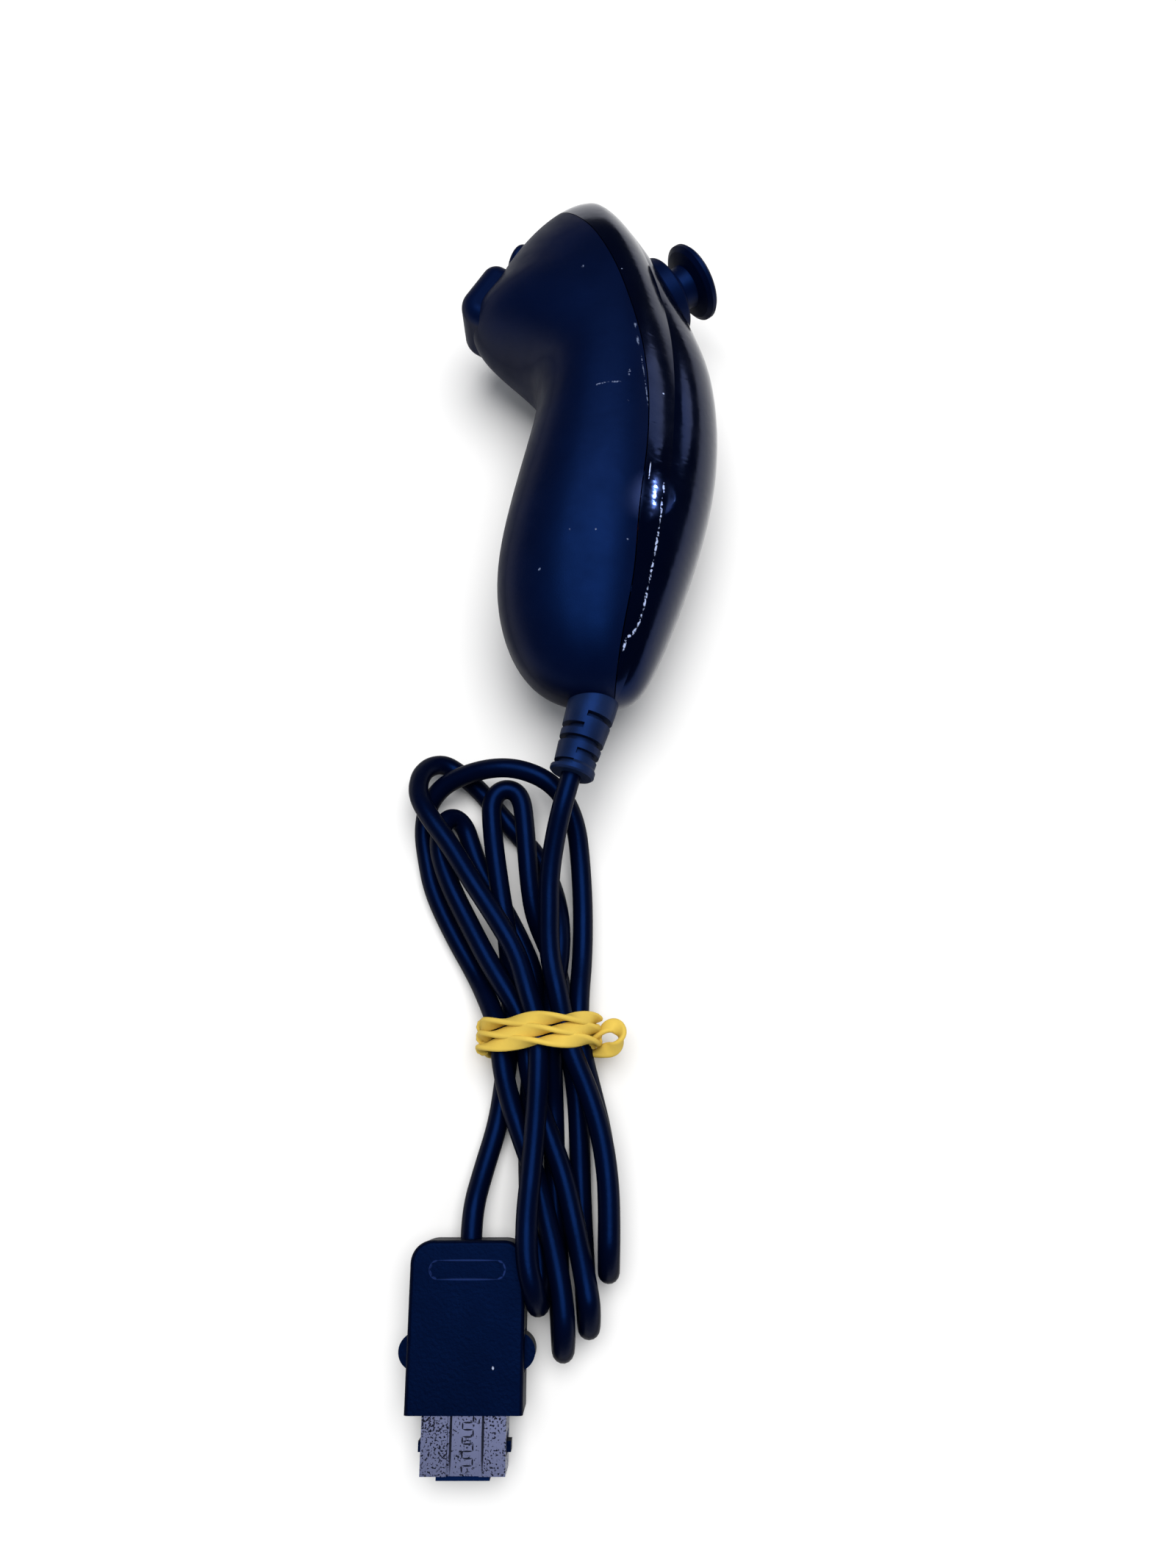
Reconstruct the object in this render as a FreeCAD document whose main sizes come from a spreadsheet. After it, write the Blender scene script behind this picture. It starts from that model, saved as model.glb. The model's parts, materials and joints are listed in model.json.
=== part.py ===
import FreeCAD, Part
import math
import os
import Sketcher
from FreeCAD import Placement, Rotation, Vector

# One-handed motion game controller, lying on its right side, with its cord folded in a hank.
# Millimetres. +X is the stick side, +Y the head, +Z up from the surface that it lies on.

SIZES = {
    # Casing
    "body_length": 112.8,
    "body_width": 38.2,
    "body_depth": 50.7,
    "wall": 1.9,
    "parting_gap": 0.2,
    "fit_gap": 0.1,
    "moving_gap": 0.3,
    # Thumb stick: its pivot, its lean from +X, and heights along its own axis from the pivot
    "pivot_across": 11.57,
    "pivot_along": 32.78,
    "stick_lean": 35.0,
    "gate_top": 6.3,
    "gate_radius": 8.4,
    "gate_opening": 7.6,
    "frame_top": 1.5,
    "cap_top": 13.5,
    "cap_radius": 8.0,
    "cap_dish": 1.1,
    "neck_radius": 4.2,
    "bell_radius": 5.4,
    "bell_low": 4.2,
    "bell_hollow": 6.3,
    "shaft_radius": 1.5,
    "shaft_low": 2.2,
    "shaft_top": 11.0,
    "pivot_pin_radius": 0.6,
    "journal_radius": 1.0,
    "running_gap": 0.05,
    "frame_side": 13.0,
    "frame_wall": 0.9,
    "yoke_length": 10.8,
    "yoke_width": 5.4,
    "yoke_height": 2.8,
    "yoke_slot": 3.2,
    "arch_radius": 5.4,
    "arch_thickness": 1.0,
    "arch_width": 5.6,
    "arch_slot": 3.5,
    "sensor_length": 8.4,
    "sensor_thickness": 2.0,
    "sensor_height": 8.2,
    "seat_radius": 3.4,
    "seat_drop": 2.7,
    "spring_radius": 2.6,
    "spring_wire": 0.25,
    # Main board under the stick
    "board_drop": 8.0,
    "board_thickness": 1.2,
    "board_head_end": 11.0,
    "board_tail_end": 18.0,
    "board_width": 19.0,
    "board_post_radius": 2.0,
    "board_screw_radius": 0.9,
    "board_screw_length": 6.0,
    # Front face with its two buttons, and heights from the face
    "face_across": -19.7,
    "face_along": 37.0,
    "face_lean": 58.4,
    "trigger_width": 14.4,
    "trigger_high": 3.0,
    "trigger_low": 11.6,
    "trigger_top": 2.1,
    "trigger_depth": 8.0,
    "trigger_corner": 4.6,
    "trigger_edge": 3.0,
    "trigger_travel": 1.5,
    "small_button_place": 8.9,
    "small_button_width": 10.0,
    "small_button_length": 7.8,
    "small_button_top": 0.4,
    "small_button_depth": 5.6,
    "small_button_travel": 0.8,
    "flange_lip": 1.0,
    "flange_end": 4.0,
    "flange_thickness": 0.8,
    "switch_depth": 9.6,
    "switch_radius": 2.2,
    "switch_height": 1.2,
    "button_board_thickness": 1.0,
    "button_board_width": 18.0,
    "button_post_place": 6.0,
    "button_post_side": 7.3,
    # Casing screws
    "head_screw_place": -8.0,
    "tail_screw_place": -33.0,
    "screw_seat": -6.5,
    "boss_face": -3.0,
    "screw_length": 14.0,
    "screw_radius": 1.2,
    "screw_head_radius": 2.3,
    "screw_head_height": 1.6,
    "boss_radius": 3.2,
    # Strain relief at the tail
    "relief_across": 0.8,
    "relief_along": -56.3,
    "relief_lean": 16.0,
    "relief_length": 14.0,
    "relief_radius": 4.65,
    "relief_end_radius": 3.8,
    "relief_groove_radius": 3.0,
    "relief_collar_radius": 6.2,
    "relief_collar": 2.0,
    "relief_seat": 5.2,
    # Cord and its plug
    "cord_radius": 1.87,
    "wire_radius": 0.35,
    "wire_pitch": 1.0,
    "band_thickness": 1.1,
    "band_width": 7.0,
    "plug_across": -19.9,
    "plug_along": -148.8,
    "plug_width": 19.0,
    "plug_length": 26.1,
    "plug_height": 11.5,
    "plug_wall": 1.6,
    "plug_corner": 3.6,
    "plug_edge": 0.7,
    "nose_width": 13.6,
    "nose_height": 8.0,
    "nose_start": 20.6,
    "nose_end": 35.0,
    "nose_sheet": 0.4,
    "nose_channel": 5.2,
    "nose_step": 0.5,
    "tip_end": 35.75,
    "insert_width": 8.6,
    "latch_place": 17.2,
    "latch_reach": 11.25,
    "latch_round": 2.9,
    "latch_height": 5.0,
    "latch_pivot": 8.0,
    "latch_pivot_side": 5.7,
    "latch_pin_radius": 0.8,
    "latch_eye_radius": 1.9,
    "latch_arm": 0.8,
    "hook_place": 31.0,
    "hook_reach": 7.5,
}

doc = FreeCAD.newDocument("MotionController")
sheet = doc.addObject("Spreadsheet::Sheet", "Sizes")
for row_number, (alias, value) in enumerate(SIZES.items(), start=1):
    sheet.set("A%d" % row_number, alias)
    sheet.set("B%d" % row_number, str(value))
    sheet.setAlias("B%d" % row_number, alias)
doc.recompute()


class Size:
    """A length or angle: its value, and the expression that ties it to the sheet."""

    def __init__(self, value, text):
        self.value = value
        self.text = text

    def __float__(self):
        return self.value

    def combine(self, sign, other, turned=False):
        first, second = (as_size(other), self) if turned else (self, as_size(other))
        results = {
            "+": first.value + second.value,
            "-": first.value - second.value,
            "*": first.value * second.value,
            "/": first.value / second.value if second.value else 0.0,
        }
        return Size(results[sign], "(%s %s %s)" % (first.text, sign, second.text))

    def __add__(self, other):
        return self.combine("+", other)

    def __radd__(self, other):
        return self.combine("+", other, turned=True)

    def __sub__(self, other):
        return self.combine("-", other)

    def __rsub__(self, other):
        return self.combine("-", other, turned=True)

    def __mul__(self, other):
        return self.combine("*", other)

    def __rmul__(self, other):
        return self.combine("*", other, turned=True)

    def __truediv__(self, other):
        return self.combine("/", other)

    def __neg__(self):
        return self.combine("*", -1.0)


def as_size(value):
    return value if isinstance(value, Size) else Size(float(value), repr(float(value)))


class SheetSizes:
    """Reads one size of the sheet by its alias."""

    def __getattr__(self, alias):
        return Size(float(getattr(sheet, alias)), "Sizes." + alias)


size = SheetSizes()
mid_height = size.body_width / 2
nodes = []


def keep(name, piece):
    """Marks a finished piece as a sub-part under its own name."""
    piece.Label = name
    nodes.append(piece)
    return piece


def place(frame, across=0.0, along=0.0, up=0.0, turn=None):
    """A placement given in the axes of another one."""
    spot = Vector(float(across), float(along), float(up))
    return frame.multiply(Placement(spot, turn or Rotation()))


def primitive(kind, name, frame, **sizes):
    piece = doc.addObject("Part::" + kind, name)
    for prop, value in sizes.items():
        piece.setExpression(prop, as_size(value).text)
    piece.Placement = frame
    return piece


def block(name, frame, length, width, height, across=0.0, along=0.0, up=0.0):
    """A box centred across and along, with its base at the height named up."""
    corner = place(frame, float(across) - float(length) / 2, float(along) - float(width) / 2, up)
    return primitive("Box", name, corner, Length=length, Width=width, Height=height)


def rod(name, frame, radius, height, across=0.0, along=0.0, up=0.0, turn=None):
    return primitive("Cylinder", name, place(frame, across, along, up, turn),
                     Radius=radius, Height=height)


def join(name, pieces):
    piece = doc.addObject("Part::MultiFuse", name)
    piece.Shapes = pieces
    return piece


def common(name, pieces):
    piece = doc.addObject("Part::MultiCommon", name)
    piece.Shapes = pieces
    return piece


def cut(name, base, *tools):
    for number, tool in enumerate(tools, start=1):
        piece = doc.addObject("Part::Cut", name if len(tools) == 1 else "%s_%d" % (name, number))
        piece.Base = base
        piece.Tool = tool
        base = piece
    return base


def made(name, shape):
    """A piece whose shape is set with Part's own functions."""
    piece = doc.addObject("Part::Feature", name)
    piece.Shape = shape
    return piece


def rounded(name, base, radius, wanted):
    """Fillets the edges of a piece for which wanted(edge) is true."""
    doc.recompute()
    chosen = [(number, float(radius), float(radius))
              for number, edge in enumerate(base.Shape.Edges, start=1) if wanted(edge)]
    piece = doc.addObject("Part::Fillet", name)
    piece.Base = base
    piece.Edges = chosen
    return piece


def along_axis(edge, frame, axis):
    """True for a straight edge that runs along an axis of a frame."""
    if not isinstance(edge.Curve, Part.Line):
        return False
    direction = frame.Rotation.multVec(axis)
    run = edge.Vertexes[-1].Point.sub(edge.Vertexes[0].Point).normalize()
    return abs(run.dot(direction)) > 0.999


def local(frame, point):
    return frame.inverse().multVec(point)


def origin_plane(body, role):
    return next(o for o in body.Origin.OriginFeatures if o.Role == role)


def outline_sketch(body, name, role, points):
    """A closed outline of straight lines whose corners are tied to the sheet."""
    sketch = body.newObject("Sketcher::SketchObject", name)
    sketch.AttachmentSupport = [(origin_plane(body, role), "")]
    sketch.MapMode = "FlatFace"
    corners = [(as_size(a), as_size(b)) for a, b in points]
    spots = [Vector(float(a), float(b), 0) for a, b in corners]
    count = len(spots)
    for number in range(count):
        sketch.addGeometry(Part.LineSegment(spots[number], spots[(number + 1) % count]))
    for number in range(count):
        sketch.addConstraint(Sketcher.Constraint("Coincident", number, 2, (number + 1) % count, 1))
    for number, pair in enumerate(corners):
        for kind, axis, value in (("DistanceX", -2, pair[0]), ("DistanceY", -1, pair[1])):
            if float(value) == 0:
                sketch.addConstraint(Sketcher.Constraint("PointOnObject", number, 1, axis))
                continue
            index = sketch.addConstraint(
                Sketcher.Constraint(kind, -1, 1, number, 1, float(value)))
            sketch.setExpression("Constraints[%d]" % index, value.text)
    return sketch


def turned(name, frame, points):
    """A body turned about its own Z axis from an outline of (radius, height) corners."""
    body = doc.addObject("PartDesign::Body", name)
    sketch = outline_sketch(body, name + "_outline", "XZ_Plane", points)
    doc.recompute()
    feature = body.newObject("PartDesign::Revolution", name + "_turned")
    feature.Profile = sketch
    feature.ReferenceAxis = (sketch, ["V_Axis"])
    feature.Angle = 360
    doc.recompute()
    body.Placement = frame
    return body


def padded(name, frame, points, thickness, role="XY_Plane", midplane=False):
    """A body raised from an outline of corners."""
    body = doc.addObject("PartDesign::Body", name)
    sketch = outline_sketch(body, name + "_outline", role, points)
    doc.recompute()
    feature = body.newObject("PartDesign::Pad", name + "_raised")
    feature.Profile = sketch
    feature.setExpression("Length", as_size(thickness).text)
    feature.Midplane = midplane
    doc.recompute()
    body.Placement = frame
    return body


# Casing: closed sections across the length, each symmetric about the middle plane

DRAWN_LENGTH, DRAWN_WIDTH, DRAWN_DEPTH = 112.8, 38.2, 50.7

# Each row: place along the length, belly and crown across, half width, widest place across,
# crease across and half width at the crease, fullness of the belly curve
CASING_ROWS = (
    (-56.3, 1.4, 5.6, 1.5, 3.5, 4.4, 1.2, 2.3),
    (-55.6, -3.2, 7.8, 4.6, 2.9, 5.6, 3.6, 2.3),
    (-53.5, -8.4, 10.2, 8.0, 2.2, 6.9, 6.0, 2.3),
    (-49.5, -12.4, 12.5, 10.9, 1.5, 8.4, 8.1, 2.35),
    (-42.0, -15.9, 15.7, 13.6, 1.1, 10.4, 10.1, 2.4),
    (-32.0, -17.3, 19.3, 15.8, 1.4, 12.6, 11.6, 2.4),
    (-18.0, -15.5, 23.4, 17.8, 2.4, 15.0, 12.9, 2.4),
    (-4.0, -12.2, 25.6, 18.7, 3.4, 16.2, 13.3, 2.4),
    (4.0, -10.5, 25.8, 18.98, 3.8, 16.5, 13.4, 2.4),
    (9.0, -10.2, 25.5, 19.08, 4.0, 16.4, 13.4, 2.35),
    (13.0, -11.2, 25.0, 19.1, 4.1, 16.2, 13.3, 2.25),
    (17.0, -14.6, 24.1, 19.08, 4.3, 15.8, 13.1, 2.15),
    (21.0, -19.6, 22.8, 19.0, 4.4, 15.2, 12.8, 2.05),
    (25.0, -23.4, 21.3, 18.84, 4.5, 14.5, 12.5, 2.0),
    (29.0, -23.9, 19.6, 18.55, 4.4, 13.6, 12.2, 1.95),
    (33.0, -21.6, 17.7, 18.05, 4.2, 12.5, 11.9, 1.9),
    (38.0, -18.8, 15.1, 17.0, 3.6, 10.9, 11.3, 1.85),
    (44.0, -15.4, 11.6, 14.6, 2.5, 8.4, 10.1, 1.85),
    (50.0, -10.4, 7.3, 11.0, 1.2, 5.2, 7.9, 1.9),
    (54.0, -5.4, 4.0, 6.9, 0.4, 2.7, 5.1, 1.95),
    (56.0, -2.2, 2.2, 3.0, 0.2, 1.4, 2.3, 2.0),
    (56.4, -1.1, 1.3, 1.3, 0.2, 0.8, 1.0, 2.0),
)
# The line where the two shells meet: place along the length, place across
PARTING_LINE = (
    (-60.0, 4.6), (-53.0, 5.2), (-43.0, 6.9), (-36.0, 8.2), (-24.0, 9.3), (-13.0, 10.7),
    (0.0, 11.3), (14.0, 9.6), (20.0, 8.0), (27.0, 5.8), (35.0, 2.6), (42.0, -0.9),
    (48.0, -4.7), (54.0, -9.4), (60.0, -14.2),
)
STRIP_FULLNESS = 2.2
SECTION_STEPS = 9


def stretched(along, across=0.0, width=0.0):
    """Drawn sizes at the length, depth and width in the sheet."""
    return (along * float(size.body_length) / DRAWN_LENGTH,
            across * float(size.body_depth) / DRAWN_DEPTH,
            width * float(size.body_width) / DRAWN_WIDTH)


def section_spacing():
    """Parameters shared by all the sections, so that their curves have the same knots."""
    half = [step / SECTION_STEPS for step in range(SECTION_STEPS + 1)]
    half += [1 + 0.12 * step for step in range(1, 4)]
    return [-value for value in reversed(half[1:])] + half


def casing_section(row, inset):
    """The wire of one section, drawn in by the inset."""
    along, belly, crown, half, widest, crease, crease_half, fullness = row
    along, belly, half = stretched(along, belly, half)
    crown, crease_half = stretched(0, crown, crease_half)[1:]
    widest, crease = stretched(0, widest)[1], stretched(0, crease)[1]
    belly, crown, half = belly + inset, crown - inset, half - inset
    crease, crease_half = crease - inset / 2, crease_half - inset * 0.7
    side = []
    for step in range(SECTION_STEPS + 1):
        angle = math.pi / 2 * step / SECTION_STEPS
        side.append((widest - (widest - belly) * math.cos(angle) ** (2 / fullness),
                     half * math.sin(angle) ** (2 / fullness)))
    for step in range(1, 4):
        share = step / 3
        side.append((widest + (crease - widest) * share,
                     half - (half - crease_half) * share ** STRIP_FULLNESS))
    middle = float(mid_height)
    upper = [Vector(x, along, middle + z) for x, z in side]
    lower = [Vector(x, along, middle - z) for x, z in reversed(side[1:])]
    body_edge = Part.BSplineCurve()
    body_edge.interpolate(Points=lower + upper, Parameters=section_spacing())
    crown_arc = Part.Arc(upper[-1], Vector(crown, along, middle), lower[0])
    return Part.Wire([body_edge.toShape(), crown_arc.toBSpline().toShape()])


def casing_solid(inset):
    """The casing's outer form, or its hollow when the inset is the wall."""
    length_ends = [stretched(row[0])[0] for row in (CASING_ROWS[0], CASING_ROWS[-1])]
    wires = []
    for row in CASING_ROWS:
        along = stretched(row[0])[0]
        narrow = stretched(0, 0, row[3])[2]
        near_end = min(along - length_ends[0], length_ends[1] - along)
        if inset and (near_end < inset or narrow < 2.5 * inset):
            continue
        wires.append(casing_section(row, inset))
    return Part.makeLoft(wires, True, False)


def parting_region(side, gap):
    """All space on one side of the parting line, less half the gap."""
    line = [Vector(stretched(0, across)[1] + side * gap / 2, stretched(along)[0], 0)
            for along, across in PARTING_LINE]
    curve = Part.BSplineCurve()
    curve.interpolate(line)
    reach = 2 * float(size.body_depth) * side
    far_end = Vector(reach, line[-1].y, 0)
    far_start = Vector(reach, line[0].y, 0)
    wire = Part.Wire([curve.toShape(), Part.makeLine(line[-1], far_end),
                      Part.makeLine(far_end, far_start), Part.makeLine(far_start, line[0])])
    region = Part.Face(wire).extrude(Vector(0, 0, 2 * float(size.body_width)))
    region.translate(Vector(0, 0, -float(size.body_width) / 2))
    return region


# Places and directions that the pieces share

def axes(across, along, up, toward, upward):
    """A frame whose Z points along toward and whose Y points along upward."""
    side = upward.cross(toward)
    return Placement(Vector(float(across), float(along), float(up)),
                     Rotation(side, upward, toward, "ZXY"))


def heading(angle):
    turn = math.radians(float(angle))
    return Vector(math.cos(turn), math.sin(turn), 0)


UP = Vector(0, 0, 1)
QUARTER = 90
TO_X = Rotation(Vector(0, 1, 0), QUARTER)
TO_Y = Rotation(Vector(1, 0, 0), -QUARTER)
BACKWARD = Rotation(Vector(1, 0, 0), 2 * QUARTER)


def on_body(across, along, angle):
    """A frame at the middle height, at a place drawn on the casing, facing an angle."""
    drawn = stretched(float(along), float(across))
    return axes(drawn[1], drawn[0], mid_height, heading(angle), UP)


stick = on_body(size.pivot_across, size.pivot_along, size.stick_lean)
face = on_body(size.face_across, size.face_along, size.face_lean + QUARTER)
tail = on_body(size.relief_across, size.relief_along, -(size.relief_lean + QUARTER))
plug = Placement(Vector(float(size.plug_across), float(size.plug_along), 0), Rotation())
plug_middle = size.plug_height / 2


def oval(name, frame, width, length, height, along=0.0, up=0.0):
    """An oval disc, wide along the frame's Y and long along its X."""
    outline = doc.addObject("Part::Ellipse", name + "_outline")
    outline.setExpression("MajorRadius", (width / 2).text)
    outline.setExpression("MinorRadius", (length / 2).text)
    outline.Placement = place(frame, along, 0, up, Rotation(Vector(0, 0, 1), QUARTER))
    piece = doc.addObject("Part::Extrusion", name)
    piece.Base = outline
    piece.DirMode = "Custom"
    piece.Dir = frame.Rotation.multVec(UP)
    piece.setExpression("LengthFwd", as_size(height).text)
    piece.Solid = True
    return piece


def screw(name, frame, radius, length, head_radius, head_height):
    """A pan-head screw whose shank runs along the frame's Z from the seat at its origin."""
    shank = rod(name + "_shank", frame, radius, length)
    head = rod(name + "_head", frame, head_radius, head_height, up=-float(head_height))
    recess = [block("%s_recess_%d" % (name, number), place(frame, up=-float(head_height)),
                    long_side, short_side, head_height / 2)
              for number, (long_side, short_side) in enumerate(
                  ((head_radius, head_radius / 4), (head_radius / 4, head_radius)), start=1)]
    return cut(name, join(name + "_turned", [shank, head]), join(name + "_cross", recess))


def coil(name, frame, radius, wire, turns, height):
    """A round-wire spring that climbs along the frame's Z."""
    line = Part.makeHelix(float(height) / turns, float(height), float(radius))
    section = Part.Wire(Part.makeCircle(float(wire), Vector(float(radius), 0, 0), Vector(0, 1, 0)))
    piece = made(name, Part.Wire(line).makePipeShell([section], True, True))
    piece.Placement = frame
    return piece


def tube(name, edges, radius):
    """A round tube along a path of tangent edges."""
    path = Part.Wire(edges)
    first = edges[0]
    circle = Part.Circle(first.valueAt(first.FirstParameter),
                         first.tangentAt(first.FirstParameter), float(radius))
    section = Part.Wire([circle.toShape(0, math.pi), circle.toShape(math.pi, 2 * math.pi)])
    shape = path.makePipeShell([section], True, False)
    expected = math.pi * float(radius) ** 2 * path.Length
    print(name, "length %.1f volume ratio %.4f" % (path.Length, shape.Volume / expected))
    return made(name, shape)


ARC_SHARE = 0.45


def rounded_route(name, points):
    """Straight runs through the points, joined by arcs as large as the runs allow."""
    points = [Vector(*point) for point in points]
    edges = []
    radii = []
    start = points[0]
    for before, corner, after in zip(points, points[1:], points[2:]):
        inward = (corner - before).normalize()
        outward = (after - corner).normalize()
        turn = inward.getAngle(outward)
        reach = ARC_SHARE * min(corner.distanceToPoint(before), corner.distanceToPoint(after))
        radii.append(reach / math.tan(turn / 2))
        leave = corner - inward * reach
        rejoin = corner + outward * reach
        bisector = (outward - inward).normalize()
        crest = corner + bisector * (radii[-1] / math.cos(turn / 2) - radii[-1])
        edges.append(Part.LineSegment(start, leave).toShape())
        edges.append(Part.Arc(leave, crest, rejoin).toShape())
        start = rejoin
    edges.append(Part.LineSegment(start, points[-1]).toShape())
    print(name, "arc radii", " ".join("%.1f" % radius for radius in radii))
    return edges


# Casing: two shells with their posts, bores and openings

outer_form = casing_solid(0.0)
inner_form = casing_solid(float(size.wall))
TAIL_BLOCK = 40.0
tail_block = Part.makeBox(TAIL_BLOCK, TAIL_BLOCK, TAIL_BLOCK)
tail_block.Placement = place(tail, -TAIL_BLOCK / 2, -TAIL_BLOCK / 2, -float(size.relief_seat))
skin = outer_form.cut(inner_form.cut(tail_block))
envelope = made("post_envelope", casing_solid(float(size.wall) / 2))


def screw_frames():
    seat = stretched(0, float(size.screw_seat))[1]
    return [place(Placement(), seat, stretched(float(spot))[0], mid_height, TO_X)
            for spot in (size.head_screw_place, size.tail_screw_place)]


POST_REACH = 45.0
board_posts = ((float(size.board_head_end) - 2.2, 0.0), (-15.0, 6.0), (-15.0, -6.0))
button_posts = ((-float(size.button_post_place), float(size.button_post_side)),
                (-float(size.button_post_place), -float(size.button_post_side)))
button_board_top = -(size.switch_depth + size.switch_height)
board_top = -size.board_drop


def trimmed(name, piece):
    return common(name, [piece, envelope])


def lower_shell():
    blank = made("lower_blank", skin.common(parting_region(-1, float(size.parting_gap))))
    posts = [blank]
    bores = []
    for number, frame in enumerate(screw_frames(), start=1):
        boss = rod("lower_boss_%d" % number, frame, size.boss_radius,
                   size.boss_face - size.screw_seat + POST_REACH, up=-POST_REACH)
        posts.append(trimmed("lower_boss_%d_trimmed" % number, boss))
        bores.append(rod("lower_bore_%d" % number, frame, size.screw_radius + size.fit_gap,
                         POST_REACH, up=-1))
        bores.append(rod("lower_sink_%d" % number, frame, size.screw_head_radius + size.fit_gap * 2,
                         POST_REACH, up=-POST_REACH))
    for number, (along, side) in enumerate(button_posts, start=1):
        post = rod("button_post_%d" % number, face, size.board_post_radius, POST_REACH,
                   along, side, button_board_top)
        posts.append(trimmed("button_post_%d_trimmed" % number, post))
        bores.append(rod("button_post_bore_%d" % number, face, size.board_screw_radius,
                         size.board_screw_length, along, side, button_board_top))
    shell = join("lower_shell_whole", posts)
    gap = size.moving_gap
    window_length = size.trigger_high + size.trigger_low + gap * 2
    window = block("trigger_window", face, window_length, size.trigger_width + gap * 2,
                   size.trigger_depth + POST_REACH,
                   float(size.trigger_low - size.trigger_high) / 2, 0,
                   -(size.trigger_depth + size.trigger_travel + gap))
    window = rounded("trigger_window_round", window, size.trigger_edge + gap,
                     lambda edge: along_axis(edge, face, Vector(0, 0, 1)))
    small = oval("small_button_window", face, size.small_button_width + gap * 2,
                 size.small_button_length + gap * 2, POST_REACH,
                 -float(size.small_button_place), -float(size.small_button_depth))
    cord_bore = rod("lower_cord_bore", tail, size.relief_radius, POST_REACH,
                    up=-(size.relief_seat + 1))
    return keep("lower_shell", cut("lower_shell", shell, join("lower_openings", bores + [window]),
                                   small, cord_bore))


def upper_shell():
    blank = made("upper_blank", skin.common(parting_region(1, float(size.parting_gap))))
    posts = [blank]
    bores = []
    for number, frame in enumerate(screw_frames(), start=1):
        rise = float(size.boss_face - size.screw_seat)
        boss = rod("upper_boss_%d" % number, frame, size.boss_radius, POST_REACH, up=rise)
        posts.append(trimmed("upper_boss_%d_trimmed" % number, boss))
        bores.append(rod("upper_bore_%d" % number, frame, size.screw_radius,
                         size.screw_length + 1, up=rise / 2))
    for number, (along, side) in enumerate(board_posts, start=1):
        post = rod("board_post_%d" % number, stick, size.board_post_radius, POST_REACH,
                   along, side, board_top)
        posts.append(trimmed("board_post_%d_trimmed" % number, post))
        bores.append(rod("board_post_bore_%d" % number, stick, size.board_screw_radius,
                         size.board_screw_length, along, side, board_top))
    shell = join("upper_shell_whole", posts)
    gate_hole = rod("gate_hole", stick, size.gate_radius + size.fit_gap, POST_REACH,
                    up=-float(size.frame_top))
    cord_bore = rod("upper_cord_bore", tail, size.relief_radius, POST_REACH,
                    up=-(size.relief_seat + 1))
    return keep("upper_shell", cut("upper_shell", shell, join("upper_bores", bores),
                                   gate_hole, cord_bore))


def casing_screws():
    for number, frame in enumerate(screw_frames(), start=1):
        keep("casing_screw_%d" % number,
             screw("casing_screw_%d" % number, frame, size.screw_radius, size.screw_length,
                   size.screw_head_radius, size.screw_head_height))


# Thumb stick: gate, cap, shaft and the two rockers that read its tilt

GATE_SIDES = 8


def stick_ring():
    ring = rod("gate_disc", stick, size.gate_radius, size.gate_top - size.frame_top,
               up=size.frame_top)
    ring = rounded("gate_disc_round", ring, 0.6,
                   lambda edge: local(stick, edge.CenterOfMass).z > float(size.gate_top) - 0.1)
    opening = doc.addObject("Part::Prism", "gate_opening")
    opening.Polygon = GATE_SIDES
    opening.setExpression("Circumradius", size.gate_opening.text)
    opening.setExpression("Height", (size.gate_top - size.frame_top + 2).text)
    opening.Placement = place(stick, up=size.frame_top - 1)
    keep("stick_ring", cut("stick_ring", ring, opening))


def stick_cap():
    rim = size.cap_radius
    top = size.cap_top
    neck = size.neck_radius
    outline = [(0, size.bell_low), (size.bell_radius, size.bell_low),
               (size.bell_radius - 0.2, size.bell_low + 0.8), (neck + 0.4, size.gate_top),
               (neck, size.gate_top + 2.2), (neck + 0.3, top - 2.6), (rim - 1.0, top - 2.0),
               (rim, top - 1.3), (rim, top - 0.5), (rim - 0.5, top), (rim - 1.1, top),
               (rim - 2.0, top - size.cap_dish / 2), (rim / 2, top - size.cap_dish),
               (0, top - size.cap_dish)]
    cap = turned("cap_turned", stick, outline)
    bore = rod("cap_bore", stick, size.shaft_radius, size.shaft_top)
    hollow = primitive("Sphere", "bell_hollow", stick, Radius=size.bell_hollow)
    keep("stick_cap", cut("stick_cap", cap, bore, hollow))


def stick_shaft():
    shaft = rod("shaft_rod", stick, size.shaft_radius, size.shaft_top + size.shaft_low,
                up=-size.shaft_low)
    pin_length = size.yoke_width - size.running_gap * 4
    pin = rod("shaft_pin", stick, size.pivot_pin_radius, pin_length,
              along=-float(pin_length) / 2, turn=TO_Y)
    keep("stick_shaft", join("stick_shaft", [shaft, pin]))


def journals(name, turn, start, reach):
    """Two short trunnions on one axis through the pivot."""
    pieces = []
    for sign in (-1, 1):
        along = turn.multVec(Vector(0, 0, 1)) * (sign * float(start) - (sign < 0) * float(reach))
        pieces.append(primitive("Cylinder", "%s_journal_%d" % (name, sign + 2),
                                place(stick, along.x, along.y, along.z, turn),
                                Radius=size.journal_radius, Height=reach))
    return pieces


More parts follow.
